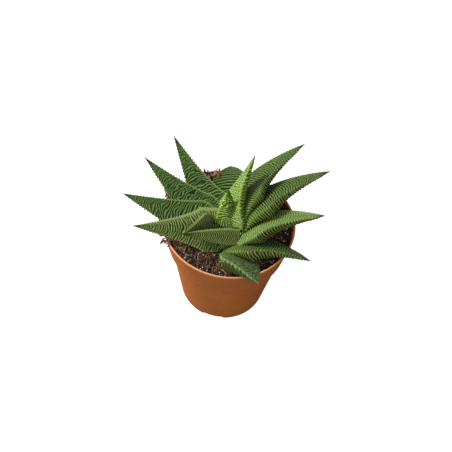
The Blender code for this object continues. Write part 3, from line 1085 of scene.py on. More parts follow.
    def surface(self) -> Surface:
        """The section turned round Z, with faint rings round the body and the foot raised at each channel.

        Returns:
            The closed surface with its worn and soiled values.
        """
        section = self.profile()
        turn = np.linspace(0, math.tau, self.columns, endpoint=False)
        radius = np.repeat(section[:, :1], self.columns, axis=1)
        height = np.repeat(section[:, 1:], self.columns, axis=1)
        outer = radius > self.outside(height) - self.wall / 2
        for ring in self.ring_heights:
            near = np.exp(-(((height - ring) / self.ring_width) ** 2))
            radius = radius - outer * self.ring_depth * near
        east = self.sway_circle * np.cos(turn)[None]
        north = self.sway_circle * np.sin(turn)[None] + height / self.sway_squeeze
        sway = self.sway_depth * waves(self.sway_seed, east, north, self.sway_length)
        radius = radius + sway * smooth_step(height, *self.sway_rise)
        x = radius * np.cos(turn)
        y = radius * np.sin(turn)
        floor_top = (height > self.floor / 2) & ~outer
        raised = self.in_channel(x, y, self.wall) * (self.channel_height + self.wall)
        cut = self.in_channel(x, y, 0.0) * self.channel_height
        lifted = np.where(floor_top, np.maximum(height, raised), np.maximum(height, cut))
        first = np.array([0.0, 0.0, section[0, 1]])
        last = np.array([0.0, 0.0, section[-1, 1]])
        return capped(np.stack([x, y, lifted], -1), first, last, self.wear(height, outer))

    def build(self, finishes: Finishes) -> None:
        """Makes the pot in place of its CAD node."""
        pot = piece_from("pot_moulding", self.surface(), finishes.pot)
        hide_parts("pot")


# ---------------------------------------------------------------- potting mix


@dataclass(frozen=True)
class Heap:
    """How many loose bits of one kind lie on the mix, and their sizes.

    Attributes:
        count: number of bits.
        small: shortest length.
        large: longest length.
        flat: thickness as a share of the length.
        slim: width as a share of the length.
        tones: darkest and palest tone.
        seed: picks their places and shapes.
    """

    count: int
    small: float
    large: float
    flat: float
    slim: float
    tones: Range
    seed: int


@dataclass(frozen=True)
class Swell:
    """One set of waves in the height or the tone of the mix's surface.

    Attributes:
        seed: picks its directions and phases.
        height: usual height of its crests.
        length: distance from crest to crest.
        sines: number of sines in it.
    """

    seed: int
    height: float
    length: float
    sines: int

    def at(self, x: Array, y: Array) -> Array:
        """How far the waves rise at each place."""
        return self.height * waves(self.seed, x, y, self.length, self.sines)


@dataclass(frozen=True)
class Fibres:
    """Coir strands on the mix.

    Attributes:
        count: number of strands.
        lengths: shortest and longest strand.
        curl: usual turn from end to end, in radians.
        arch: greatest rise of a strand's middle over its ends.
        above: height of the ends over the surface.
        thick: thinnest and thickest strand, as a radius in the middle.
        pinch: how much thinner the ends are than the middle, as a share.
        tones: darkest and palest tone.
        darken: power of the spread of tones; above 1 makes more of them dark.
        inset: how far inside the loose bits' reach the middles stay.
        rows: number of points along a strand.
        sides: number of points round it.
        seed: picks their places and shapes.
    """

    count: int = 1500
    lengths: Range = (3.0, 11.0)
    curl: float = 1.1
    arch: float = 1.3
    above: float = 0.35
    thick: Range = (0.10, 0.24)
    pinch: float = 0.6
    tones: Range = (0.15, 1.0)
    darken: float = 1.3
    inset: float = 3.0
    rows: int = 7
    sides: int = 3
    seed: int = 31


@dataclass(frozen=True)
class Mix:
    """Potting mix with its crumbs, bark flakes, fibres and perlite.

    Attributes:
        pot: the pot that holds it.
        below_lip: depth of its surface below the lip.
        clearance: gap between its side and the pot.
        edge_drop: distance from its surface down to the top ring of its side.
        bare_rim: width of the strip along the wall that loose bits keep off.
        rings: number of rings across the surface.
        side_rings: number of rings up the side.
        columns: number of points round each ring.
        swells: the sets of waves in the surface.
        tone_level: mean tone of the mix.
        tones: the set of waves in its tone.
        crumbs: loose lumps of mix.
        flakes: small flakes of bark.
        grits: grains of perlite.
        rough: least and most that a lump's points are pushed in or out, as shares.
        lean: greatest lean of a lump.
        bed: how far above the surface a lump's middle lies, as a share of half its thickness.
        fibres: the coir strands.
    """

    pot: Pot
    below_lip: float = 5.5
    clearance: float = 0.35
    edge_drop: float = 1.0
    bare_rim: float = 2.0
    rings: int = 84
    side_rings: int = 14
    columns: int = 300
    swells: tuple[Swell, ...] = (
        Swell(11, 0.55, 19.0, 7),
        Swell(12, 0.42, 4.2, 11),
        Swell(13, 0.16, 1.5, 13),
    )
    tone_level: float = 0.12
    tones: Swell = Swell(14, 0.14, 3.0, 9)
    crumbs: Heap = Heap(1500, 0.8, 2.8, 0.55, 0.75, (0.0, 0.75), 21)
    flakes: Heap = Heap(240, 2.2, 5.0, 0.22, 0.5, (0.2, 1.0), 22)
    grits: Heap = Heap(120, 0.6, 1.7, 0.8, 0.85, (0.5, 1.0), 23)
    rough: Range = (0.62, 1.2)
    lean: float = 28.0
    bed: float = 0.6
    fibres: Fibres = Fibres()

    def top(self) -> float:
        """Mean height of the mix's surface."""
        return self.pot.height - self.below_lip

    def reach(self) -> float:
        """Radius within which loose bits lie clear of the wall."""
        return float(self.pot.outside(self.top())) - self.pot.wall - self.bare_rim

    def lift(self, x: Array, y: Array) -> Array:
        """Height of the crumbly surface: its mean height plus every set of waves.

        Args:
            x: first coordinate.
            y: second coordinate.

        Returns:
            The height at each place.
        """
        height = self.top()
        for swell in self.swells:
            height = height + swell.at(x, y)
        return height

    def body(self) -> Surface:
        """The mix itself: its side follows the pot's inside at a clearance, and its top is crumbly.

        Returns:
            The closed surface with its tone.
        """
        low = self.pot.floor + self.clearance + self.pot.channel_height + self.pot.wall
        heights = np.linspace(low, self.top() - self.edge_drop, self.side_rings)
        side = self.pot.outside(heights) - self.pot.wall - self.clearance
        edge = float(side[-1])
        smallest = 0.5
        inward = np.linspace(1.0, smallest / edge, self.rings)
        radius = np.concatenate([side, edge * inward])
        height = np.concatenate([heights, np.full(self.rings, self.top())])
        turn = np.linspace(0, math.tau, self.columns, endpoint=False)
        x = radius[:, None] * np.cos(turn)
        y = radius[:, None] * np.sin(turn)
        z = np.repeat(height[:, None], self.columns, axis=1)
        above = slice(self.side_rings, None)
        z[above] = self.lift(x[above], y[above])
        tone = np.clip(self.tone_level + self.tones.at(x, y), 0, 1)
        middle = np.array([0.0, 0.0, float(self.lift(np.array(0.0), np.array(0.0)))])
        return capped(np.stack([x, y, z], -1), np.array([0.0, 0.0, low]), middle, {"tone": tone})

    def spots(self, rng: np.random.Generator, count: int, reach: float) -> tuple[Array, Array]:
        """Places spread evenly over the mix: the root of an even number as radius, at an even angle.

        Args:
            rng: the source of random numbers.
            count: number of places.
            reach: greatest distance from the middle.

        Returns:
            First and second coordinates.
        """
        radius = reach * np.sqrt(rng.uniform(0, 1, count))
        turn = rng.uniform(0, math.tau, count)
        return radius * np.cos(turn), radius * np.sin(turn)

    def scatter(self, heap: Heap) -> Surface:
        """Rough lumps: coarse balls whose points are pushed in and out, stretched, turned and laid down.

        Args:
            heap: what lies there.

        Returns:
            All the lumps as one surface, each with its tone.
        """
        rng = np.random.default_rng(heap.seed)
        shape = coarse_ball(rows=4, columns=7)
        length = rng.uniform(heap.small, heap.large, heap.count) / 2
        rough = rng.uniform(*self.rough, (heap.count, len(shape.points), 1))
        stretch = np.stack([length, length * heap.slim, length * heap.flat], -1)[:, None]
        points = shape.points[None] * rough * stretch
        points = np.einsum("nij,npj->npi", random_turns(rng, heap.count, self.lean), points)
        x, y = self.spots(rng, heap.count, self.reach())
        z = self.lift(x, y) + length * heap.flat * self.bed
        points = points + np.stack([x, y, z], -1)[:, None]
        return many(points, shape.quads, shape.triangles).toned(rng.uniform(*heap.tones, heap.count))

    def strands(self) -> Surface:
        """Coir strands: thin tubes along arched, curling paths laid on the surface.

        In plan a strand's heading turns evenly along it, and its height is the surface's plus an arch
        that falls off with the square of the distance from its middle.

        Returns:
            All the strands as one surface, each with its tone.
        """
        form = self.fibres
        rng = np.random.default_rng(form.seed)
        length = rng.uniform(*form.lengths, form.count)
        turn = rng.uniform(0, math.tau, form.count)
        curl = rng.normal(0, form.curl, form.count)
        share = np.linspace(-0.5, 0.5, form.rows)
        heading = turn[:, None] + curl[:, None] * share
        steps = np.stack([np.cos(heading), np.sin(heading)], -1) * (length / form.rows)[:, None, None]
        plan = np.cumsum(steps, axis=1)
        x, y = self.spots(rng, form.count, self.reach() - form.inset)
        plan = plan - plan.mean(1, keepdims=True) + np.stack([x, y], -1)[:, None]
        far = np.linalg.norm(plan, axis=-1, keepdims=True)
        plan = plan * np.minimum(1.0, self.reach() / far)
        arch = rng.uniform(0.0, form.arch, form.count)[:, None] * (1 - (2 * share) ** 2)
        height = self.lift(plan[..., 0], plan[..., 1]) + form.above + arch
        path = np.concatenate([plan, height[..., None]], -1)
        side = np.stack([-np.sin(heading), np.cos(heading), np.zeros_like(heading)], -1)
        thick = rng.uniform(*form.thick, form.count)[:, None] * (1 - form.pinch * np.abs(2 * share))
        made = tubes(path, side, np.array([0.0, 0.0, 1.0]), thick, form.sides)
        return made.toned(rng.uniform(*form.tones, form.count) ** form.darken)

    def build(self, finishes: Finishes) -> None:
        """Makes the mix in place of its CAD node, and lays the loose bits on it.

        Args:
            finishes: the plant's materials.
        """
        body = piece_from("mix_body", self.body(), finishes.mix)
        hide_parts("potting_mix")
        piece_from("mix_crumbs", self.scatter(self.crumbs), finishes.mix)
        piece_from("mix_flakes", self.scatter(self.flakes), finishes.bark)
        piece_from("mix_perlite", self.scatter(self.grits), finishes.perlite)
        piece_from("mix_fibres", self.strands(), finishes.bark)


# ---------------------------------------------------------------- leaves


@dataclass(frozen=True)
class Leaf:
    """One leaf from its seat on the crown to its tip, as a keeled blade with a shallow channel above.

    Attributes:
        node: the CAD node it stands for.
        heading: plan direction at the seat.
        sweep: turn in plan from seat to tip.
        length: length along the midrib.
        width: greatest width.
        rise: slope at the seat.
        bend: change of slope from seat to tip.
        roll: twist about the midrib; negative lowers the left edge.
        seat: out along the heading, left of it, above the mix.
        keel: depth of the keeled underside.
        widest: share of the length at the widest place.
        taper: below 1 hollows the outline towards the tip, above 1 fills it.
        foot: width at the seat as a share of the width.
        channel: lift of both edges as a share of the width.
        twist: change of roll from seat to tip.
        stage: how old the leaf is.
        rib: distance between ribs on the upper face.
        bow: how far ribs fall back to the seat at the edges, in ribs; below 0 they run on to the tip.
        break_up: how much the ribs wander and break.
        dry: length of the brown tip.
        shoulder: how far the right edge rounds downwards.
    """

    node: str
    heading: float
    sweep: float
    length: float
    width: float
    rise: float
    bend: float
    roll: float
    seat: Point
    keel: float
    widest: float = 0.30
    taper: float = 1.25
    foot: float = 0.60
    channel: float = 0.03
    twist: float = 0.0
    stage: Stage = Stage.GROWN
    rib: float = 1.8
    bow: float = 1.2
    break_up: float = 0.4
    dry: float = 3.0
    shoulder: float = 0.0


@dataclass(frozen=True)
class Habit:
    """What a leaf's age gives its surface.

    Attributes:
        band: where the smooth band begins, from 0 at the midrib to 1 at the edge, which leaves none.
        sharpness: power of the ribs' shape; more makes them narrower.
        bead: how far the ribs break into beads.
        pale: strength of the pale edge.
    """

    band: float
    sharpness: float = 1.8
    bead: float = 0.1
    pale: float = 0.8


HABITS = {
    Stage.BUD: Habit(0.9, bead=0.6),
    Stage.YOUNG: Habit(0.92, bead=0.6),
    Stage.INNER: Habit(0.8),
    Stage.GROWN: Habit(0.88, sharpness=2.6),
    Stage.KEELED: Habit(1.0, pale=0.2),
    Stage.BROAD: Habit(1.0, pale=0.2),
    Stage.OLD: Habit(0.9),
}


@dataclass(frozen=True)
class BladeGrid:
    """Where the points of a blade lie on it: rows from seat to tip, columns once round the blade.

    Attributes:
        distance: distance along the midrib, as a column.
        half: half the width, as a column.
        across: -1 at the right edge to 1 at the left, as a row.
        under: 1 on the lower face and 0 on the upper, as a row.
        off_keel: 0 on the keel to 1 at either edge, as a row.
    """

    distance: Array
    half: Array
    across: Array
    under: Array
    off_keel: Array

    def edge(self, start: float) -> Array:
        """Rises from 0 at a share of the half width to 1 at either edge."""
        return smooth_step(np.abs(self.across), start, 1.0)

    def slender(self, limit: float) -> Array:
        """1 where half the width is above a limit, and below it their ratio."""
        return np.minimum(1, self.half / limit)


@dataclass(frozen=True)
class RibWaves:
    """How ribs wander, break and bead.

    Attributes:
        under_spacing: distance between ribs on the lower face.
        face_shift: keeps the waves of the two faces apart.
        wander: how far ribs stray at full break-up, in ribs.
        wander_length: distance from crest to crest of their straying.
        gap_length: distance from gap to gap.
        gap_squeeze: how much closer gaps come along the leaf than across it.
        gap_sines: number of sines in the gaps' waves.
        gap_levels: levels of those waves between which a rib fades out.
        gap_base: how strong gaps are at the seat; they grow by 1 towards the tip.
        bead_length: distance from bead to bead.
        bead_squeeze: how much closer beads come along the leaf than across it.
        bead_sines: number of sines in the beads' waves.
        bead_levels: levels of those waves between which a rib dips.
        tip_widths: half widths between which the ribs set in behind the tip.
    """

    under_spacing: float = 1.9
    face_shift: float = 40.0
    wander: float = 0.5
    wander_length: float = 7.0
    gap_length: float = 2.6
    gap_squeeze: float = 1.5
    gap_sines: int = 9
    gap_levels: Range = (0.1, 1.2)
    gap_base: float = 0.4
    bead_length: float = 1.7
    bead_squeeze: float = 1.3
    bead_sines: int = 11
    bead_levels: Range = (-0.3, 0.5)
    tip_widths: Range = (0.3, 2.5)

    def height(self, leaf: Leaf, seed: int, grid: BladeGrid) -> Array:
        """Height of the ribs: a raised cosine across them, thinned by gaps and beads.

        The cosine's phase is the distance in ribs, plus the bow times the square of the place across,
        plus the wander.

        Args:
            leaf: the leaf.
            seed: makes each leaf's ribs its own.
            grid: where the points lie on it.

        Returns:
            0 between ribs to 1 on their crests.
        """
        habit = HABITS[leaf.stage]
        side = grid.across * grid.half + self.face_shift * grid.under
        spacing = leaf.rib + (self.under_spacing - leaf.rib) * grid.under
        wander = self.wander * leaf.break_up * waves(seed, grid.distance, side, self.wander_length)
        phase = grid.distance / spacing + leaf.bow * grid.across**2 + wander
        crest = (0.5 + 0.5 * np.cos(math.tau * phase)) ** habit.sharpness
        along = grid.distance * self.gap_squeeze
        gaps = waves(seed + 50, along, side, self.gap_length, self.gap_sines)
        gap_depth = leaf.break_up * (self.gap_base + grid.distance / leaf.length)
        broken = 1 - gap_depth * smooth_step(gaps, *self.gap_levels)
        along = grid.distance * self.bead_squeeze
        beads = waves(seed + 70, along, side, self.bead_length, self.bead_sines)
        beaded = 1 - habit.bead * smooth_step(beads, *self.bead_levels)
        near_tip = smooth_step(grid.half * np.ones_like(grid.across), *self.tip_widths)
        return crest * beaded * broken * near_tip


@dataclass(frozen=True)
class Rosette:
    """The leaves, all twisted the same way round a short crown.

    Attributes:
        mix: the potting mix that they stand on.
        crown: the crown's middle in plan.
        rib_waves: how the ribs wander, break and bead.
        rib_height: height of the ribs.
        edge_ribs: how much lower the ribs are at the edges, as a share.
        edge_thickness: thickness of the blade's edge.
        fine_half: half width below which edge and ribs grow finer.
        tooth: length of the teeth.
        tooth_half: half width below which the teeth grow shorter.
        tooth_spacing: distance from tooth to tooth, in ribs.
        tooth_slant: shift of the teeth at either edge, one way and the other, as an angle in radians.
        tooth_start: distances from the seat between which the teeth set in.
        edge_start: share of the half width at which the toothed edge starts.
        belly: power of the underside's section; below 1 rounds its flanks.
        fill: power by which the underside's depth follows the width.
        keel_place: where the keel runs, from -1 at the right edge to 1 at the left.
        keel_width: how far the keel's line reaches to each side, as a share of the way to the edge.
        keel_teeth: height of the bumps along the keel.
        under_inset: width of the lower face as a share of the upper.
        band_fade: width over which the smooth band sets in, as a share of the half width.
        shoulder_from: shares of the half width between which the right shoulder rounds down.
        shoulder_drop: drop of a shoulder that has rounded down in full, for a leaf's shoulder of 1.
        across: number of points across each face.
        along_step: distance from row to row.
        seed: the first leaf's seed.
    """

    mix: Mix
    crown: Range = (-1.0, -4.0)
    rib_waves: RibWaves = RibWaves()
    rib_height: float = 0.5
    edge_ribs: float = 0.6
    edge_thickness: float = 0.5
    fine_half: float = 2.0
    tooth: float = 0.6
    tooth_half: float = 3.0
    tooth_spacing: float = 1.1
    tooth_slant: float = 3.0
    tooth_start: Range = (3.0, 12.0)
    edge_start: float = 0.9
    belly: float = 0.55
    fill: float = 0.95
    keel_place: float = -0.3
    keel_width: float = 0.12
    keel_teeth: float = 0.35
    under_inset: float = 0.985
    band_fade: float = 0.12
    shoulder_from: Range = (0.35, 1.25)
    shoulder_drop: float = 4.0
    across: int = 30
    along_step: float = 0.24
    seed: int = 100

    def leaves(self) -> tuple[Leaf, ...]:
        """Every leaf, from the middle of the rosette outwards.

        Returns:
            The leaves.
        """
        bud, young, inner = Stage.BUD, Stage.YOUNG, Stage.INNER
        keeled, broad, old = Stage.KEELED, Stage.BROAD, Stage.OLD
        return (
            Leaf("leaf_01_centre", -70, 0, 34, 13, 92, 0, 8, (-4.7, 0, 1.5), 5, foot=0.9, stage=young,
                 rib=1.3, break_up=1.0, dry=1.0),
            Leaf("leaf_02_bud", 188, 0, 17, 8, 26, 0, -50, (-6, 3, 9.5), 3, foot=0.9, stage=bud, rib=1.3,
                 dry=0.8),
            Leaf("leaf_03_front_inner", 194, 0, 38.5, 10, 16, -4, -50, (-4.8, 13, 10.8), 4, 0.15, 1.2, 1.0,
                 0.06, 0, inner, 1.35, -2.0, 0.15, 1.5, 0.06),
            Leaf("leaf_04_left_inner", 226, 0, 26, 14, 26, -12, -76, (8, -4.9, 10.8), 4, 0.30, 1.25, 0.6,
                 0.06, -40, inner, 1.5, -1.0, 0.2, 1.5, 0.14),
            Leaf("leaf_05_tall", 90, -28, 48, 32, 50, -20, -45, (0, 1, 8.0), 10, 0.12, 0.85, 0.95, 0.03,
                 -20, young, 1.6, 1.2, 0.8, 1.5),
            Leaf("leaf_06_back_right", 106, -65, 80, 36, 22, -16, -64, (-3, -4, 7.3), 13, 0.32, 0.7, 0.55,
                 twist=46, stage=keeled, rib=1.8, break_up=0.35, dry=4.5, shoulder=0.03),
            # This leaf takes the paler inner skin, partly as painted light on its lit upper band.
            Leaf("leaf_07_front_left", 196, 0, 62, 28, 10, 8, -32, (0, 2, 5.2), 5, 0.28, 0.7, 1.0, 0.06,
                 0, inner, 1.6, -2.0, 0.5, 4.0, 0.12),
            Leaf("leaf_08_right_upper", 77, -53, 76, 38, 27, -25, -58, (-2, -6.3, 6.6), 13.5, 0.32, 0.72,
                 0.55, twist=38, stage=keeled, rib=1.75, break_up=0.35, dry=5.0, shoulder=0.03),
            Leaf("leaf_09_left", 179, -10, 66, 28, 5, 6, -15, (4, 0, 5.5), 5, 0.25, 0.9, 0.6, 0.06,
                 break_up=0.7, dry=5.0, shoulder=0.05),
            Leaf("leaf_10_right", 54, -54, 62, 38, 32, -26, -44, (-5, -9.2, 4.0), 12, 0.28, 0.85, 0.55,
                 twist=20, stage=broad, rib=1.6, break_up=0.35, dry=4.0, shoulder=0.03),
            Leaf("leaf_11_left_back", 156, -12, 68, 25, 9, 8, -15, (4, 0, 4.8), 5, 0.25, 0.85, 0.6, 0.06,
                 rib=1.9, break_up=0.8, dry=7.0, shoulder=0.04),
            Leaf("leaf_12_right_lower", 13, -25, 57, 32, 30, -54, -38, (-3, -12.5, 1.2), 11, 0.35, 0.75,
                 0.6, stage=keeled, rib=1.7, break_up=0.35, dry=4.5, shoulder=0.03),
            Leaf("leaf_13_back_left", 134, -9, 69, 24, 14, 8, -15, (4, 0, 4.2), 5, 0.25, 0.75, 0.6, 0.06,
                 rib=2.0, break_up=0.8, dry=8.0),
            Leaf("leaf_14_back_drooping", 99, -6, 50, 24, 30, -62, -10, (5, -2, 4.5), 5, 0.50, 1.9,
                 rib=2.7, break_up=0.2),
            Leaf("leaf_15_front_drooping", -28, -30, 32, 31, 22, -26, -38, (11, -15.5, 5.2), 10, 0.35, 1.0,
                 0.6, stage=old, rib=2.0, break_up=0.8, dry=1.5, shoulder=0.03),
            Leaf("leaf_16_back_under", 78, 0, 34, 18, 8, 4, -15, (7, 0, 3.5), 3, stage=old),
            Leaf("leaf_17_right_under", 46, 0, 42, 18, 6, 4, -15, (8, -6, 3.0), 3, stage=old),
        )

    def midrib(self, leaf: Leaf, along: Array) -> tuple[Array, Array, Array]:
        """Points on the midrib, with the directions to the leaf's left and out of its upper face.

        The slope changes evenly along the leaf, and the heading mostly near the foot, as 1 less the cube
        of what is left of the way. The points are the running sum of the steps that these give.

        Args:
            leaf: the leaf.
            along: shares of its length.

        Returns:
            Points, directions to the left, and directions up.
        """
        heading = np.radians(leaf.heading + leaf.sweep * (1 - (1 - along) ** 3))
        slope = np.radians(leaf.rise + leaf.bend * along)
        level_step = np.cos(slope)
        ahead = np.stack([level_step * np.cos(heading), level_step * np.sin(heading), np.sin(slope)], -1)
        steps = (ahead[1:] + ahead[:-1]) / 2 * (np.diff(along) * leaf.length)[:, None]
        level = np.stack([-np.sin(heading), np.cos(heading), np.zeros_like(heading)], -1)
        roll = np.radians(leaf.roll + leaf.twist * along)[:, None]
        left = level * np.cos(roll) + np.cross(ahead, level) * np.sin(roll)
        out, side, above = leaf.seat
        first = math.radians(leaf.heading)
        seat = np.array(
            [
                self.crown[0] + out * math.cos(first) - side * math.sin(first),
                self.crown[1] + out * math.sin(first) + side * math.cos(first),
                self.mix.top() + above,
            ]
        )
        points = seat + np.concatenate([np.zeros((1, 3)), np.cumsum(steps, 0)])
        return points, left, np.cross(ahead, left)

    def half_width(self, leaf: Leaf, along: Array) -> Array:
        """Half the width: it swells from the foot to the widest place, then tapers to nothing at the tip.

        Args:
            leaf: the leaf.
            along: shares of its length.

        Returns:
            Half the width at each share.
        """
        swell = leaf.foot + (1 - leaf.foot) * np.sin(np.minimum(along / leaf.widest, 1) * np.pi / 2)
        fade = 1 - np.clip((along - leaf.widest) / (1 - leaf.widest), 0, 1) ** leaf.taper
        return leaf.width / 2 * swell * fade

    def grid(self, leaf: Leaf, along: Array) -> BladeGrid:
        """Lays out the blade's points: closer together near the edges, by a cosine.

        Args:
            leaf: the leaf.
            along: shares of its length.

        Returns:
            Where the points lie on the blade.
        """
        upper = -np.cos(np.linspace(0, math.pi, self.across))
        across = np.concatenate([upper, self.under_inset * upper[::-1]])[None, :]
        under = np.concatenate([np.zeros(self.across), np.ones(self.across)])[None, :]
        beyond = across - self.keel_place
        off_keel = np.abs(beyond) / (1 - np.sign(beyond) * self.keel_place)
        half = self.half_width(leaf, along)[:, None]
        return BladeGrid((along * leaf.length)[:, None], half, across, under, off_keel)

    def margin(self, leaf: Leaf, grid: BladeGrid) -> Array:
        """The smooth pale band along the upper face's right edge, as wide as the leaf's habit says.

        Args:
            leaf: the leaf.
            grid: where the points lie on it.

        Returns:
            1 on the band and 0 off it.
        """
        start = HABITS[leaf.stage].band
        return smooth_step(-grid.across, start, start + self.band_fade) * (1 - grid.under)

    def teeth(self, leaf: Leaf, grid: BladeGrid) -> Array:
        """Blunt teeth: the square of a raised sine along the edge, which sets in above the seat.

        Args:
            leaf: the leaf.
            grid: where the points lie on it.

        Returns:
            0 between teeth to 1 on them.
        """
        spacing = self.tooth_spacing * leaf.rib
        phase = math.tau * grid.distance / spacing + self.tooth_slant * grid.across
        return (0.5 + 0.5 * np.sin(phase)) ** 2 * smooth_step(grid.distance, *self.tooth_start)

    def lift(self, leaf: Leaf, grid: BladeGrid, along: Array) -> Array:
        """Height of the blade over its midrib.

        The edges rise with the square of the place across. The lower face hangs by the keel's depth,
        which follows the width and a power of the nearness to the keel. The right shoulder rounds down.

        Args:
            leaf: the leaf.
            grid: where the points lie on it.
            along: shares of its length.

        Returns:
            The height of each point.
        """
        seated = (1 + np.minimum(along / leaf.widest, 1)) / 2
        fullness = (grid.half / (leaf.width / 2)) ** self.fill * seated[:, None]
        depth = grid.under * np.maximum(0, 1 - grid.off_keel) ** self.belly
        thin = self.edge_thickness * grid.slender(self.fine_half)
        hollow = 2 * leaf.channel * grid.half * grid.across**2
        rounding = smooth_step(-grid.across, *self.shoulder_from)
        drop = self.shoulder_drop * leaf.shoulder * grid.half * rounding
        return hollow - leaf.keel * fullness * depth - thin * grid.under - drop

    def values(self, leaf: Leaf, grid: BladeGrid, ridge: Array, keel: Array) -> dict[str, Array]:
        """What the leaf's material reads.

        Towards a long dry tip the ribs blend into an even tone, and a leaf that is barely dry keeps them
        a little sharper there.

        Args:
            leaf: the leaf.
            grid: where the points lie on it.
            ridge: height of the ribs.
            keel: 1 on the keel's line.

        Returns:
            The ridge, under, edge, tip and foot_tint_and_shade values; the last lays the foot's own tint
            together with painted shade near the seat.
        """
        most_even, even_gain, barely_dry, even_tone = 0.7, 0.2, 0.4, 0.42
        even_from, even_to, tip_from, tip_to, foot_tint_and_shade_from, foot_tint_and_shade_to = 0.45, 0.95, 1.5, 0.5, 4.0, 0.35
        pale_from, band_strength, keel_strength = 0.97, 0.75, 0.3
        length, ones = leaf.length, np.ones_like(ridge)
        dryness = min(most_even, even_gain * leaf.dry - barely_dry)
        even = dryness * smooth_step(grid.distance, even_from * length, even_to * length)
        tip = smooth_step(grid.distance, length - tip_from * leaf.dry, length - tip_to * leaf.dry)
        edge = HABITS[leaf.stage].pale * grid.edge(pale_from)
        edge = np.maximum(edge, band_strength * self.margin(leaf, grid))
        return {
            "ridge": ridge * (1 - even) + even_tone * even,
            "under": grid.under * ones,
            "edge": np.maximum(edge, keel_strength * keel) * ones,
            "tip": tip * ones,
            # Foot tint with painted shade: full at the seat, fading out by about a third of the length.
            "foot_tint_and_shade": (1 - smooth_step(grid.distance, foot_tint_and_shade_from, foot_tint_and_shade_to * length)) * ones,
        }

    def surface(self, leaf: Leaf, seed: int) -> Surface:
        """The blade: its section carried along the midrib, then pushed out by ribs, teeth and keel.

        Args:
            leaf: the leaf.
            seed: makes each leaf's ribs its own.

        Returns:
            The closed surface with its ridge, under, edge, tip and foot_tint_and_shade values.
        """
        rows = int(leaf.length / self.along_step)
        along = np.linspace(0, 1, rows + 1)
        points, left, up = self.midrib(leaf, along)
        grid = self.grid(leaf, along)
        tooth = self.teeth(leaf, grid)
        at_edge = grid.edge(self.edge_start)
        bite = at_edge * tooth * self.tooth * grid.slender(self.tooth_half)
        reach = grid.half * grid.across + np.sign(grid.across) * bite
        height = self.lift(leaf, grid, along)
        rings = points[:, None] + left[:, None] * reach[..., None] + up[:, None] * height[..., None]
        ridge = self.rib_waves.height(leaf, seed, grid) * (1 - self.margin(leaf, grid))
        keel = grid.under * (1 - smooth_step(grid.off_keel, 0.0, self.keel_width))
        push = self.rib_height * ridge * (1 - self.edge_ribs * at_edge) + self.keel_teeth * keel * tooth
        normal = normals_of(rings)
        outward = np.sign(np.einsum("ijk,ijk->ij", normal, rings - rings.mean(1, keepdims=True)).mean())
        rings = rings + outward * normal * (push * grid.slender(self.fine_half))[..., None]
        last = rows - 1
        cut = {name: value[:last] for name, value in self.values(leaf, grid, ridge, keel).items()}
        return capped(rings[:last], rings[0].mean(0), points[-1], cut)

    def build(self, finishes: Finishes) -> None:
        """Makes each leaf in place of its CAD node.

        Args:
            finishes: the plant's materials.
        """
        for index, leaf in enumerate(self.leaves()):
            surface = self.surface(leaf, self.seed + index)
            blade = piece_from(leaf.node + "_blade", surface, finishes.leaves[leaf.stage])
            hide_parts(leaf.node)


# ---------------------------------------------------------------- bark and stray bits


@dataclass(frozen=True)
class Chip:
    """A split flake of bark, placed by its direction and its distance in from the lip.

    Attributes:
        node: the CAD node it stands for.
        direction: direction from the pot's axis.
        inside_lip: distance in from the lip's outside.
        above_mix: height of its middle over the mix.
        size: length, width and thickness.
        tilt: turns about X, then Y, then Z.
    """

    node: str
    direction: float
    inside_lip: float
    above_mix: float
    size: Point
    tilt: Point


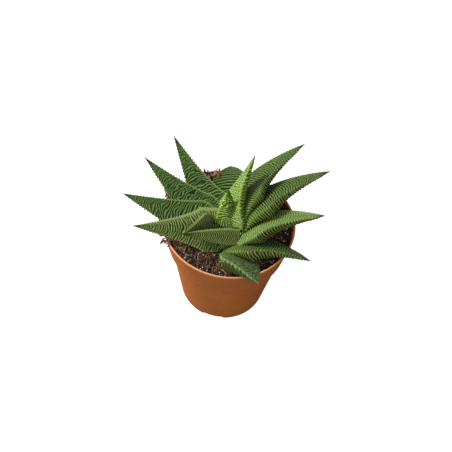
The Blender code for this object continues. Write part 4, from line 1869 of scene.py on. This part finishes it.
@dataclass(frozen=True)
class Bark:
    """The larger flakes, with layered, ragged sides.

    Attributes:
        mix: the potting mix that they lie on.
        chips: the flakes.
        square: power of the ball's sines and cosines; below 1 squares it.
        thinning: how much a flake thins towards its far end.
        ragged: how ragged its ends are.
        layered: how deep the layers on its sides are.
        rows: number of rings from end to end.
        columns: number of points round each ring.
        seed: the first flake's seed.
        seed_step: from one flake's seed to the next's.
    """

    mix: Mix
    chips: tuple[Chip, ...] = (
        Chip("bark_chip_1", 111.0, 6.0, 6.0, (10.0, 6.0, 3.2), (10.0, -62.0, 20.0)),
        Chip("bark_chip_2", 124.0, 6.0, 3.0, (8.0, 5.0, 2.6), (20.0, -24.0, 40.0)),
        Chip("bark_chip_3", 156.0, -1.5, 7.6, (9.0, 4.5, 2.4), (12.0, 12.0, 150.0)),
        Chip("bark_chip_4", 201.0, 0.5, 7.2, (8.0, 2.8, 2.0), (8.0, 14.0, 214.0)),
    )
    square: float = 0.45
    thinning: float = 0.22
    ragged: float = 0.10
    layered: float = 0.13
    rows: int = 40
    columns: int = 48
    seed: int = 200
    seed_step: int = 5

    def squared(self, value: Array) -> Array:
        """A sine or cosine pushed out towards -1 and 1 by a power below 1, with its sign kept."""
        return np.sign(value) * np.abs(value) ** self.square

    def surface(self, chip: Chip, seed: int) -> Surface:
        """A squared ball, thinner at one end, with layered sides and ragged ends.

        The layers are waves that change slowly along the flake and fast, on a slant, through it. Its
        tones follow finer waves on a like slant.

        Args:
            chip: the flake.
            seed: makes each flake's layers its own.

        Returns:
            The closed surface with its tone.
        """
        polar, around = ball_angles(self.rows, self.columns)
        x = self.squared(np.cos(polar)) * np.ones_like(around)
        ring = self.squared(np.sin(polar))
        y = ring * self.squared(np.cos(around))
        z = ring * self.squared(np.sin(around))
        length, width, thickness = (value / 2 for value in chip.size)
        thin = 1 - self.thinning * (1 + x)
        ragged = 1 + self.ragged * waves(seed, 4 * y, 4 * z, 2.0) * np.abs(x)
        layers = 1 + self.layered * waves(seed + 1, 1.2 * x, 9 * z + 6 * y, 2.4)
        rings = np.stack([x * length * ragged, y * width * layers, z * thickness * thin * layers], -1)
        turn = Matrix.Identity(4)
        for axis, angle in zip("XYZ", chip.tilt):
            turn = Matrix.Rotation(math.radians(angle), 4, axis) @ turn
        direction = math.radians(chip.direction)
        reach = self.mix.pot.rim_radius - chip.inside_lip
        height = self.mix.top() + chip.above_mix
        place = np.array([reach * math.cos(direction), reach * math.sin(direction), height])
        turned = rings @ np.array(turn.to_3x3()).T + place
        tone = np.clip(0.5 + 0.32 * waves(seed + 2, 5 * x, 16 * z + 12 * y, 3.0), 0, 1)
        return capped(turned, turned[0].mean(0), turned[-1].mean(0), {"tone": tone})

    def build(self, finishes: Finishes) -> None:
        """Makes each flake in place of its CAD node.

        Args:
            finishes: the plant's materials.
        """
        for index, chip in enumerate(self.chips):
            surface = self.surface(chip, self.seed + self.seed_step * index)
            flake = piece_from(chip.node + "_flake", surface, finishes.bark)
            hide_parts(chip.node)


@dataclass(frozen=True)
class Clump:
    """A tuft of broken bark splinters caught between the leaves and the lip.

    Attributes:
        place: middle of the tuft.
        spread: how far splinters lie from the middle along each axis.
        count: number of splinters.
        lengths: shortest and longest splinter.
        tones: darkest and palest tone.
    """

    place: Point
    spread: Point
    count: int
    lengths: Range
    tones: Range


@dataclass(frozen=True)
class Strand:
    """A stray hair of coir from one place to another, arched between them.

    Attributes:
        start: its thick end.
        end: its thin end.
        arch: how far its middle bows sideways.
        thick: its radius near the start.
        tone: from dark at 0 to pale at 1.
    """

    start: Point
    end: Point
    arch: float
    thick: float
    tone: float


@dataclass(frozen=True)
class Debris:
    """Splinters and stray hairs that stand clear of the mix at the back and left of the lip.

    Attributes:
        clumps: the tufts of splinters.
        strands: the stray hairs.
        slim: least and most width of a splinter, as a share of its length.
        flat: least and most thickness, as a share of its width.
        rough: least and most that its points are pushed in or out, as shares.
        lean: greatest lean of a splinter.
        crowding: usual distance from a tuft's middle, as a share of its spread.
        root_swell: radius of a hair at its start, as a share of its own; it falls by 1 to the end.
        rows: number of points along a hair.
        sides: number of points round it.
        seed: the first tuft's seed.
    """

    clumps: tuple[Clump, ...] = (
        Clump((-16.0, 36.0, 76.0), (3.6, 3.2, 2.6), 90, (2.5, 7.5), (0.0, 0.85)),
        Clump((-10.5, 39.0, 76.0), (2.4, 1.6, 1.6), 36, (2.0, 5.0), (0.2, 1.0)),
        Clump((-41.0, 15.5, 75.5), (2.2, 3.4, 1.6), 44, (2.0, 5.0), (0.1, 0.8)),
        Clump((-37.5, -17.5, 74.6), (2.2, 4.4, 1.4), 70, (2.0, 6.0), (0.35, 1.0)),
        Clump((-30.0, -20.0, 71.2), (7.0, 5.0, 1.0), 150, (1.8, 6.0), (0.3, 1.0)),
        Clump((-43.0, -7.0, 75.0), (2.0, 4.0, 0.8), 16, (2.0, 5.5), (0.0, 0.4)),
    )
    strands: tuple[Strand, ...] = (
        Strand((-35.0, 26.0, 75.0), (-44.0, 35.4, 92.0), 2.0, 0.22, 0.9),
        Strand((-37.0, 24.0, 74.0), (-36.5, 28.5, 84.0), -1.0, 0.2, 0.6),
        Strand((-20.0, 38.0, 75.0), (-25.0, 42.0, 84.0), 1.5, 0.2, 0.9),
        Strand((-41.0, -18.0, 74.8), (-45.0, -12.0, 71.5), 1.2, 0.22, 0.3),
        Strand((-40.0, -4.0, 75.6), (-47.0, -6.5, 75.0), 0.8, 0.26, 0.2),
    )
    slim: Range = (0.16, 0.42)
    flat: Range = (0.3, 0.7)
    rough: Range = (0.55, 1.25)
    lean: float = 55.0
    crowding: float = 0.5
    root_swell: float = 1.1
    rows: int = 15
    sides: int = 5
    seed: int = 300

    def splinters(self, clump: Clump, seed: int) -> Surface:
        """Ragged slivers: a coarse ball stretched long and flat, pushed in and out, and turned any way.

        Args:
            clump: the tuft.
            seed: picks the places and shapes.

        Returns:
            All its splinters as one surface, each with its tone.
        """
        rng = np.random.default_rng(seed)
        shape = coarse_ball(rows=4, columns=6)
        count = clump.count
        length = rng.uniform(*clump.lengths, count) / 2
        slim = length * rng.uniform(*self.slim, count)
        stretch = np.stack([length, slim, slim * rng.uniform(*self.flat, count)], -1)[:, None]
        points = shape.points[None] * rng.uniform(*self.rough, (count, len(shape.points), 1)) * stretch
        points = np.einsum("nij,npj->npi", random_turns(rng, count, self.lean), points)
        away = rng.normal(0, self.crowding, (count, 3)) * np.array(clump.spread)
        middles = np.array(clump.place) + away
        made = many(points + middles[:, None], shape.quads, shape.triangles)
        return made.toned(rng.uniform(*clump.tones, count))

    def hairs(self) -> Surface:
        """Every strand as a thin round tube that bows sideways by half a sine and thins towards its end.

        Returns:
            All the strands as one surface, each with its tone.
        """
        share = np.linspace(0, 1, self.rows)[:, None]
        start = np.array([strand.start for strand in self.strands])
        end = np.array([strand.end for strand in self.strands])
        traits = [(strand.arch, strand.thick, strand.tone) for strand in self.strands]
        arch, thick, tone = np.array(traits).T
        way = end - start
        side = np.cross(way, [0.0, 0.0, 1.0])
        side = side / np.linalg.norm(side, axis=1, keepdims=True)
        up = np.cross(side, way) / np.linalg.norm(way, axis=1, keepdims=True)
        bow = arch[:, None, None] * np.sin(math.pi * share)
        path = start[:, None] + way[:, None] * share + side[:, None] * bow
        radius = thick[:, None] * (self.root_swell - share[:, 0])
        return tubes(path, side[:, None], up[:, None], radius, self.sides).toned(tone)

    def build(self, finishes: Finishes) -> None:
        """Makes each tuft, and the stray hairs as one piece.

        Args:
            finishes: the plant's materials.
        """
        for index, clump in enumerate(self.clumps):
            surface = self.splinters(clump, self.seed + index)
            piece_from(f"splinters_{index + 1}", surface, finishes.bark)
        piece_from("stray_hairs", self.hairs(), finishes.bark)


def dress_hidden(finishes: Finishes) -> None:
    """Gives the stem and roots, which keep their CAD shape, a finish of their own.

    Args:
        finishes: the plant's materials.
    """
    for name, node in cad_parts.items():
        if name == "stem" or name.startswith("root_"):
            node.data.materials.clear()
            node.data.materials.append(finishes.pale)


# ---------------------------------------------------------------- studio


@dataclass(frozen=True)
class Lamp:
    """A soft panel light, placed by its direction and distance from the plant.

    Attributes:
        name: the lamp's name.
        azimuth: direction round the plant, from 0 at the front towards the right.
        elevation: angle above the floor.
        distance: distance from the camera's aim, in metres.
        size: diameter of the panel, in metres.
        power: power in watts.
    """

    name: str
    azimuth: float
    elevation: float
    distance: float
    size: float
    power: float

    def build(self, aim: Vector) -> None:
        """Makes the lamp, turned towards a place.

        Args:
            aim: the place, in metres.
        """
        light = bpy.data.lights.new(self.name, "AREA")
        light.shape = "DISK"
        light.size = self.size
        light.energy = self.power
        azimuth, elevation = math.radians(self.azimuth), math.radians(self.elevation)
        level = math.cos(elevation)
        towards = Vector((math.sin(azimuth) * level, -math.cos(azimuth) * level, math.sin(elevation)))
        obj = bpy.data.objects.new(self.name, light)
        obj.location = aim + towards * self.distance
        obj.rotation_mode = "QUATERNION"
        obj.rotation_quaternion = towards.to_track_quat("Z", "Y")
        bpy.context.scene.collection.objects.link(obj)


@dataclass(frozen=True)
class Studio:
    """Pale floor, soft light and the camera. Distances are in metres.

    Attributes:
        aim: where the camera looks.
        elevation: the camera's angle above the floor.
        roll: how far the camera is rolled.
        distance: the camera's distance from its aim.
        lens: focal length in millimetres, on a sensor of sensor_width.
        sensor_width: width of the sensor in millimetres.
        nearest: nearest distance that the camera sees.
        sky: strength of the sky's light.
        sky_colour: its colour in linear light.
        floor_tone: the floor's own tone in linear light.
        floor_glow: how brightly the floor shows to the camera, which makes shadows faint.
        floor_side: half the floor's side.
        lamps: the panel lights.
    """

    aim: Point = (-0.002, 0.0, 0.0697)
    elevation: float = 53.55
    roll: float = 6.47
    distance: float = 0.425
    lens: float = 52.4
    sensor_width: float = 36.0
    nearest: float = 0.01
    sky: float = 0.47
    sky_colour: Point = (0.97, 0.985, 1.0)
    floor_tone: float = 0.24
    floor_glow: float = 0.97
    floor_side: float = 14.0
    lamps: tuple[Lamp, ...] = (
        Lamp("key", -98.0, 46.0, 0.9, 0.35, 9.5),
        Lamp("front", -25.0, 40.0, 1.1, 0.6, 3.0),
    )

    def floor(self) -> None:
        """A wide pale floor, which glows to the camera so that shadows on it are faint."""
        mesh = bpy.data.meshes.new("floor")
        signs = ((-1, -1), (1, -1), (1, 1), (-1, 1))
        corners = [(x * self.floor_side, y * self.floor_side, 0) for x, y in signs]
        mesh.from_pydata(corners, [], [(0, 1, 2, 3)])
        floor = bpy.data.objects.new("floor", mesh)
        bpy.context.scene.collection.objects.link(floor)
        made, tree, shader = Finish("floor", 0.9, 0.0).start()
        seen = tree.add("ShaderNodeLightPath").outputs["Is Camera Ray"]
        tone = (self.floor_tone,) * 3
        glow = tree.times(seen, self.floor_glow)
        tree.fill(
            shader, {"Base Color": (*tone, 1.0), "Emission Color": tint(WHITE), "Emission Strength": glow}
        )
        mesh.materials.append(made)

    def lights(self) -> None:
        """Soft sky, which the camera sees as plain white, and the panel lights."""
        world = bpy.data.worlds.new("sky")
        bpy.context.scene.world = world
        world.use_nodes = True
        tree = Tree(world.node_tree)
        sky = world.node_tree.nodes["Background"]
        tree.fill(sky, {"Color": (*self.sky_colour, 1.0), "Strength": self.sky})
        seen = tree.fill(tree.add("ShaderNodeBackground"), {"Color": tint(WHITE)})
        choice = tree.add("ShaderNodeMixShader")
        camera_ray = tree.add("ShaderNodeLightPath").outputs["Is Camera Ray"]
        sources = (camera_ray, sky.outputs["Background"], seen.outputs["Background"])
        for source, target in zip(sources, choice.inputs):
            tree.link(source, target)
        tree.link(choice.outputs["Shader"], world.node_tree.nodes["World Output"].inputs["Surface"])
        for lamp in self.lamps:
            lamp.build(Vector(self.aim))

    def camera(self) -> None:
        """The camera, which looks down at the plant from the front, rolled a little."""
        rise = math.radians(self.elevation)
        roll = math.radians(self.roll)
        back = Vector((0.0, -math.cos(rise), math.sin(rise)))
        right = Vector((1.0, 0.0, 0.0))
        up = Vector((0.0, math.sin(rise), math.cos(rise)))
        x_axis = right * math.cos(roll) + up * math.sin(roll)
        y_axis = up * math.cos(roll) - right * math.sin(roll)
        data = bpy.data.cameras.new("camera")
        data.sensor_width = self.sensor_width
        data.lens = self.lens
        data.clip_start = self.nearest
        camera = bpy.data.objects.new("camera", data)
        turn = Matrix((x_axis, y_axis, back)).transposed().to_4x4()
        camera.matrix_world = Matrix.Translation(Vector(self.aim) + back * self.distance) @ turn
        bpy.context.scene.collection.objects.link(camera)
        bpy.context.scene.camera = camera

    def build(self) -> None:
        """Sets up floor, lights, camera and a plain view of colour."""
        self.floor()
        self.lights()
        self.camera()
        bpy.context.scene.view_settings.view_transform = "Standard"


def main() -> None:
    """Builds the plant piece by piece, then its studio."""
    logging.basicConfig(level=logging.INFO, format="%(message)s")
    finishes = Finishes()
    pot = Pot()
    mix = Mix(pot)
    pot.build(finishes)
    mix.build(finishes)
    Rosette(mix).build(finishes)
    Bark(mix).build(finishes)
    Debris().build(finishes)
    dress_hidden(finishes)
    Studio().build()


if __name__ == "__main__":
    main()
